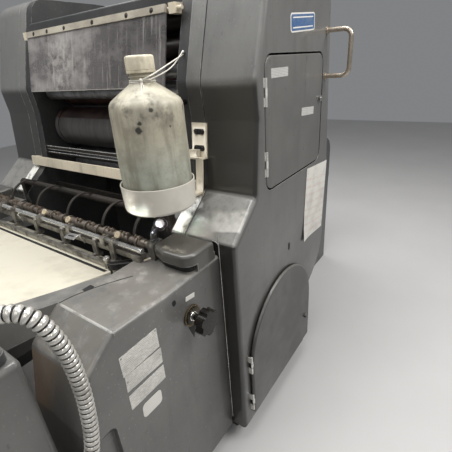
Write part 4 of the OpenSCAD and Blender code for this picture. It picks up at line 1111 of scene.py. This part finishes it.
# %% [markdown]
# ## The forwarding shaft's fingers
#
# Pairs of lugs stand up from the shaft between its sleeves, with a pin across each pair, and three
# tan discs face the feeder. A lug is a flat outline given a thickness, and one row of places makes
# them all. They turn with the shaft, so they stay within 26 mm of its axis and beside the hoops,
# whose lower ends come close to it.

# %% Lugs and discs on the shaft
SHAFT = Vector((-0.450, 0.0, 0.832))
LUG_T, LUG_GAP = 0.0044, 0.0085
ALONG_Y = (0, 1, 0)
lug_outline = [(-0.008, -0.013), (0.008, -0.013), (0.010, 0.004), (0.007, 0.016), (0.002, 0.0245),
               (-0.003, 0.0250), (-0.007, 0.019), (-0.009, 0.004)]
lugs = Stock()
for y in (-0.4235, -0.372, -0.300, -0.203, -0.132, 0.0, 0.126, 0.203, 0.300, 0.372, 0.418):
    for side in (-1, 1):
        foot = SHAFT + Vector((0, y + side * LUG_GAP - LUG_T / 2, 0))
        lugs.plate(lug_outline, facing(foot, ALONG_Y, (-0.25, 0, 1)), LUG_T, 0.0008, 0)
    lugs.turned([(0.0036, -0.0125), (0.0040, -0.0115), (0.0040, 0.0115), (0.0036, 0.0125)],
                facing(SHAFT + Vector((-0.0035, y, 0.0165)), ALONG_Y), 14, 1)
DISC = [(0.0080, 0.006), (0.0118, 0.0135), (0.0124, 0.0145), (0.0124, 0.0195), (0.0112, 0.0210),
        (0.0050, 0.0210), (0.0042, 0.0202)]
for y in (-0.341, -0.077, 0.077):
    lugs.turned(DISC, facing(SHAFT + Vector((0, y, 0)), (-0.8, 0, 0.6)), 28, 2)
lugs.piece("shaft_fingers", [rusty_steel, oily_steel, disc_tan], "forwarding_shaft")

# %% [markdown]
# ## Lays, clamps and small levers
#
# Round the square lay bar sit knurled screws, a slotted plate, pins with small heads, a round rod
# in its blocks, a black arm, two cream plates that guide the sheet, and a small cream lever. What
# is round is turned from a profile and what is flat is a plate, and fittings of one metal share a
# piece, because no joint ever parts them.

# %% Knurled screws, a slotted plate and pins
UPWARDS, ALONG_X = (0, 0, 1), (1, 0, 0)
fittings = Stock()
for y in (-0.262, -0.081, 0.090, 0.250):
    fittings.turned([(0.0050, -0.001), (0.0056, 0.0), (0.0085, 0.001), (0.0088, 0.006), (0.0076, 0.0075),
                     (0.0020, 0.0078)],
                    facing((-0.4935, y, 0.8215), UPWARDS, ALONG_X), 60, 0, ribs=20, rib_depth=0.0007)
fittings.turned([(0.0090, 0.0), (0.0102, 0.001), (0.0102, 0.009), (0.0090, 0.0105), (0.0035, 0.0108),
                 (0.0035, 0.0135), (0.0025, 0.0142)],
                facing((-0.526, -0.350, 0.7885), UPWARDS, ALONG_X), 72, 0, ribs=24, rib_depth=0.0008)
fittings.plate(rounded(0.050, 0.026, 0.003), facing((-0.512, -0.160, 0.8175), (-0.25, 0, 0.97), ALONG_X, 0.1),
               0.003, 0.0006, 0)
fittings.plate(rounded(0.030, 0.006, 0.0028), facing((-0.5128, -0.160, 0.8205), (-0.25, 0, 0.97), ALONG_X, 0.1),
               0.0002, 0.00005, 1)
for y in (-0.205, 0.190):
    fittings.turned([(0.0030, 0.0), (0.0030, 0.030), (0.0042, 0.031), (0.0042, 0.035), (0.0034, 0.036)],
                    facing((-0.497, y, 0.7990), (-0.35, 0, 0.94), ALONG_Y), 14, 0)
fittings.piece("lay_fittings", [bright_steel, slot_black], "press")

# %% A round rod over the lay bar, with its blocks
LAY_ROD = Vector((-0.4895, 0.0, 0.8325))
HALF_ROD = [(0.0079, 0.439), (0.0084, 0.440), (0.0084, 0.4745), (0.0070, 0.476)]
lay_rod = Stock()
lay_rod.turned([(r, -y) for r, y in reversed(HALF_ROD)] + HALF_ROD, facing(LAY_ROD, ALONG_Y), 28)
for y in (-0.352, -0.309, -0.126, 0.060, 0.246, 0.352):
    lay_rod.plate(rounded(0.026, 0.030, 0.004), facing(LAY_ROD + Vector((-0.0005, y - 0.011, -0.0025)), ALONG_Y),
                  0.022, 0.0012, 1)
    lay_rod.turned([(0.0042, 0.0), (0.0042, 0.0040), (0.0034, 0.0048), (0.0006, 0.0049)],
                   facing(LAY_ROD + Vector((0, y, 0.0124)), UPWARDS, ALONG_X), 16, 2)
lay_rod.piece("lay_rod", [polished, lay_steel, rusty_steel], "press")

# %% The black arm of the flat bar and its foot
screw_arm = Stock()
screw_arm.plate(rounded(0.124, 0.019, 0.0085),
                facing((-0.4950, -0.4090, 0.7660), UPWARDS, ALONG_Y, math.radians(-50)), 0.0190, 0.0020)
screw_arm.turned([(0.0080, 0.0), (0.0080, 0.0025), (0.0034, 0.0040), (0.0034, 0.0220)],
                 Matrix.Translation((-0.5530, -0.4030, 0.7616)), 16)
screw_arm.piece("screw_arm", [knob_black], "press")

# %% Guide plates and the cream lever
LEVER_PATH = [(-0.486, -0.470, 0.7985), (-0.474, -0.478, 0.8005), (-0.462, -0.486, 0.8010),
              (-0.452, -0.4925, 0.8010)]
guide_plates = Stock()
for y in (-0.318, 0.318):
    guide_plates.plate(rounded(0.052, 0.060, 0.006), facing((-0.530, y, 0.7530), (-0.21, 0, 0.98), ALONG_X),
                       0.0022, 0.0005)
small_lever = smooth_line([Vector(p) for p in LEVER_PATH], 0.004)[0]
guide_plates.rings(swept(small_lever, lambda run: 0.0030 + 0.0008 * min(1.0, run / 0.03), 12))
guide_plates.piece("guide_plates", [cream_paint], "press")

# %% [markdown]
# ## Rods at the nip, the throw-off knob and what ties the frames
#
# Three thin rods keep fingers out of the nip between the blanket and the drum below it. The black
# lever beside the operator's housing ends in a fat glossy knob. A sphere on a stick would show its
# joint, so stem and ball are one sweep with a radius that swells. Low down a cast stretcher ties
# the two frames, and a thin lip closes the console's end.

# %% Nip rods
FRAME_INSIDE = 0.4195  # from the middle of the press to either frame
nip_rods = Stock()
for height, reach in ((1.0135, -0.2030), (1.0000, -0.2040), (0.9870, -0.2050)):
    nip_rods.turned([(0.0024, -FRAME_INSIDE), (0.0024, FRAME_INSIDE)], facing((reach, 0, height), ALONG_Y), 14)
nip_rods.piece("nip_rods", [polished], "press")

# %% The throw-off knob's shape
KNOB_Y = -0.489
KNOB_PATH = [(-0.450, 0.8612), (-0.4495, 0.8690), (-0.4460, 0.8790), (-0.4350, 0.8885), (-0.4180, 0.8905),
             (-0.3960, 0.8895)]
KNOB_CORNERS = [Vector((x, KNOB_Y, z)) for x, z in KNOB_PATH]
knob_line, knob_run = smooth_line(KNOB_CORNERS, 0.0014)


def knob_radius(run):
    """The stem swells into a ball, which closes over its end."""
    along = run / knob_run
    ball = max(0.0, 1.0 - ((along - 0.70) / 0.315) ** 2) ** 0.5 * 0.0195
    return max(0.0102 if along < 0.72 else 0.0012, ball)


lever_knob = Stock()
lever_knob.rings(swept(knob_line, knob_radius, 24))
lever_knob.turned([(0.0125, -0.0085), (0.0125, -0.0030), (0.0110, 0.0)], Matrix.Translation(KNOB_CORNERS[0]), 24)
print("the knob is", round(knob_run, 3), "m long along its bend")

# %% The throw-off knob's plastic and its painted highlight
knob_highlight_finish = Finish("knob_highlight_finish")
# Painted highlight: a near-white spot on the upper front of the ball.
highlight_reach = knob_highlight_finish.far_from((-0.4262, -0.4965, 0.8985)) + knob_highlight_finish.noise(90.0, 4.0, 0.7) * 0.010
painted_highlight = knob_highlight_finish.ramp(highlight_reach, 0.0195, 0.0165)
knob_highlight_finish.set(Base_Color=knob_highlight_finish.mix(painted_highlight, (0.010, 0.009, 0.009), (0.90, 0.88, 0.83)),
              Roughness=0.16 + painted_highlight * 0.3, Coat_Weight=0.6, Coat_Roughness=0.06)
lever_knob.piece("throw_off_knob", [knob_highlight_finish.material], "press", 60.0)

# %% Stretcher between the frames
stretcher = Stock()
section = [(0.088, 0.350), (0.128, 0.350), (0.128, 0.364), (0.104, 0.368), (0.101, 0.380), (0.101, 0.760),
           (0.104, 0.772), (0.128, 0.776), (0.128, 0.790), (0.088, 0.790)]
stretcher.rings([[Vector((x, y, z)) for x, z in section] for y in (-FRAME_INSIDE, FRAME_INSIDE)])
stretcher.piece("frame_stretcher", [cast_dark], "press")

# %% Lip at the console's end, with painted shade behind it
LIP_X, LIP_R = -0.3528, 0.0013
LIP = [(-0.6450, 0.100), (-0.6450, 0.818), (-0.6440, 0.828), (-0.6405, 0.8350), (-0.6350, 0.8380),
       (-0.6240, 0.8390)]
end_lip = Stock()
lip_line = smooth_line([Vector((LIP_X, y, z)) for y, z in LIP], 0.006)[0]
end_lip.rings(swept(lip_line, lambda run: LIP_R, 8))
# Painted shade: a black plate fills the gap between the console's end and the cover.
end_lip.rings([[Vector((x, y, z)) for y, z in LIP + [(-0.6240, 0.100)]] for x in (-0.3534, -0.3522)], 1)
end_lip.piece("console_end_lip", [bright_steel, slot_black], "press", 40.0)

# %% [markdown]
# ## Floor and light
#
# The press stands on a plain pale floor. Workshop tubes light it from above, so a long soft light
# hangs over the unit, a wide one over the feeder and a bright one over the aisle. A thin tube
# draws the highlights along the covers' edges, one light behind the press rims them, and a small
# panel hangs over the drive side for its gleam on what faces up. Little light finds its way under the
# cup, so a small one with a grid is aimed at the shelf below it. Bare lamps would be simpler, but
# their shadows are hard, and the ones in the photograph are soft.

# %% Build the floor
floor_mesh = bpy.data.meshes.new("floor")
FLOOR_HALF = 7.0
floor_mesh.from_pydata([(-FLOOR_HALF, -FLOOR_HALF, 0), (FLOOR_HALF, -FLOOR_HALF, 0),
                        (FLOOR_HALF, FLOOR_HALF, 0), (-FLOOR_HALF, FLOOR_HALF, 0)], [], [(0, 1, 2, 3)])
floor = bpy.data.objects.new("floor", floor_mesh)
bpy.context.scene.collection.objects.link(floor)
floor_finish = Finish("pale_floor")
floor_finish.set(Base_Color=floor_finish.mix(floor_finish.noise(2.0), (0.52, 0.51, 0.50), (0.60, 0.59, 0.58)),
                 Roughness=0.7)
floor_mesh.materials.append(floor_finish.material)
print("the floor is", 2 * FLOOR_HALF, "m wide")


# %% Hang the lights
def soft_light(name, place, target, size, power, color=(1.0, 1.0, 1.0), length=None, spread=180.0):
    """An area light aimed at a target, square or long, with a grid where its spread is small."""
    lamp = bpy.data.lights.new(name, "AREA")
    lamp.size = size
    if length:
        lamp.shape = "RECTANGLE"
        lamp.size_y = length
    lamp.energy = power
    lamp.spread = math.radians(spread)
    lamp.color = color
    holder = bpy.data.objects.new(name, lamp)
    holder.location = place
    holder.rotation_euler = (Vector(target) - Vector(place)).to_track_quat("-Z", "Y").to_euler()
    bpy.context.scene.collection.objects.link(holder)


soft_light("ceiling_tube", (-0.46, -0.30, 3.0), (-0.36, -0.40, 0.9), 0.7, 62, (0.99, 1.0, 1.0), 2.2)
soft_light("strip_panel", (-1.06, 1.15, 2.75), (-1.06, 1.15, 0.0), 0.56, 9, (1.0, 1.0, 0.98), 0.60)
soft_light("under_cup", (-3.05, 0.00, 1.86), (-0.322, -0.510, 0.848), 0.05, 0.12, (1.0, 1.0, 0.98), 0.05, 3.4)
soft_light("aisle_key", (0.6, -2.5, 3.0), (0.0, -0.6, 1.1), 1.5, 66, (1.0, 0.99, 0.97))
soft_light("over_feeder", (-2.3, -0.9, 2.7), (-0.3, -0.2, 1.1), 1.2, 12, (1.0, 0.98, 0.95))
soft_light("edge_tube", (-1.9, -2.5, 2.65), (-0.2, -0.6, 1.1), 0.10, 9, (1.0, 1.0, 1.0), 1.4)
soft_light("back_rim", (1.6, 1.4, 3.2), (0.2, 0.0, 1.0), 2.0, 30)

# %% The light of the room
world = bpy.data.worlds.new("studio")
world.use_nodes = True
world.node_tree.nodes["Background"].inputs["Color"].default_value = (0.80, 0.82, 0.85, 1.0)
world.node_tree.nodes["Background"].inputs["Strength"].default_value = 0.27
bpy.context.scene.world = world
bpy.context.scene.view_settings.view_transform = "Standard"
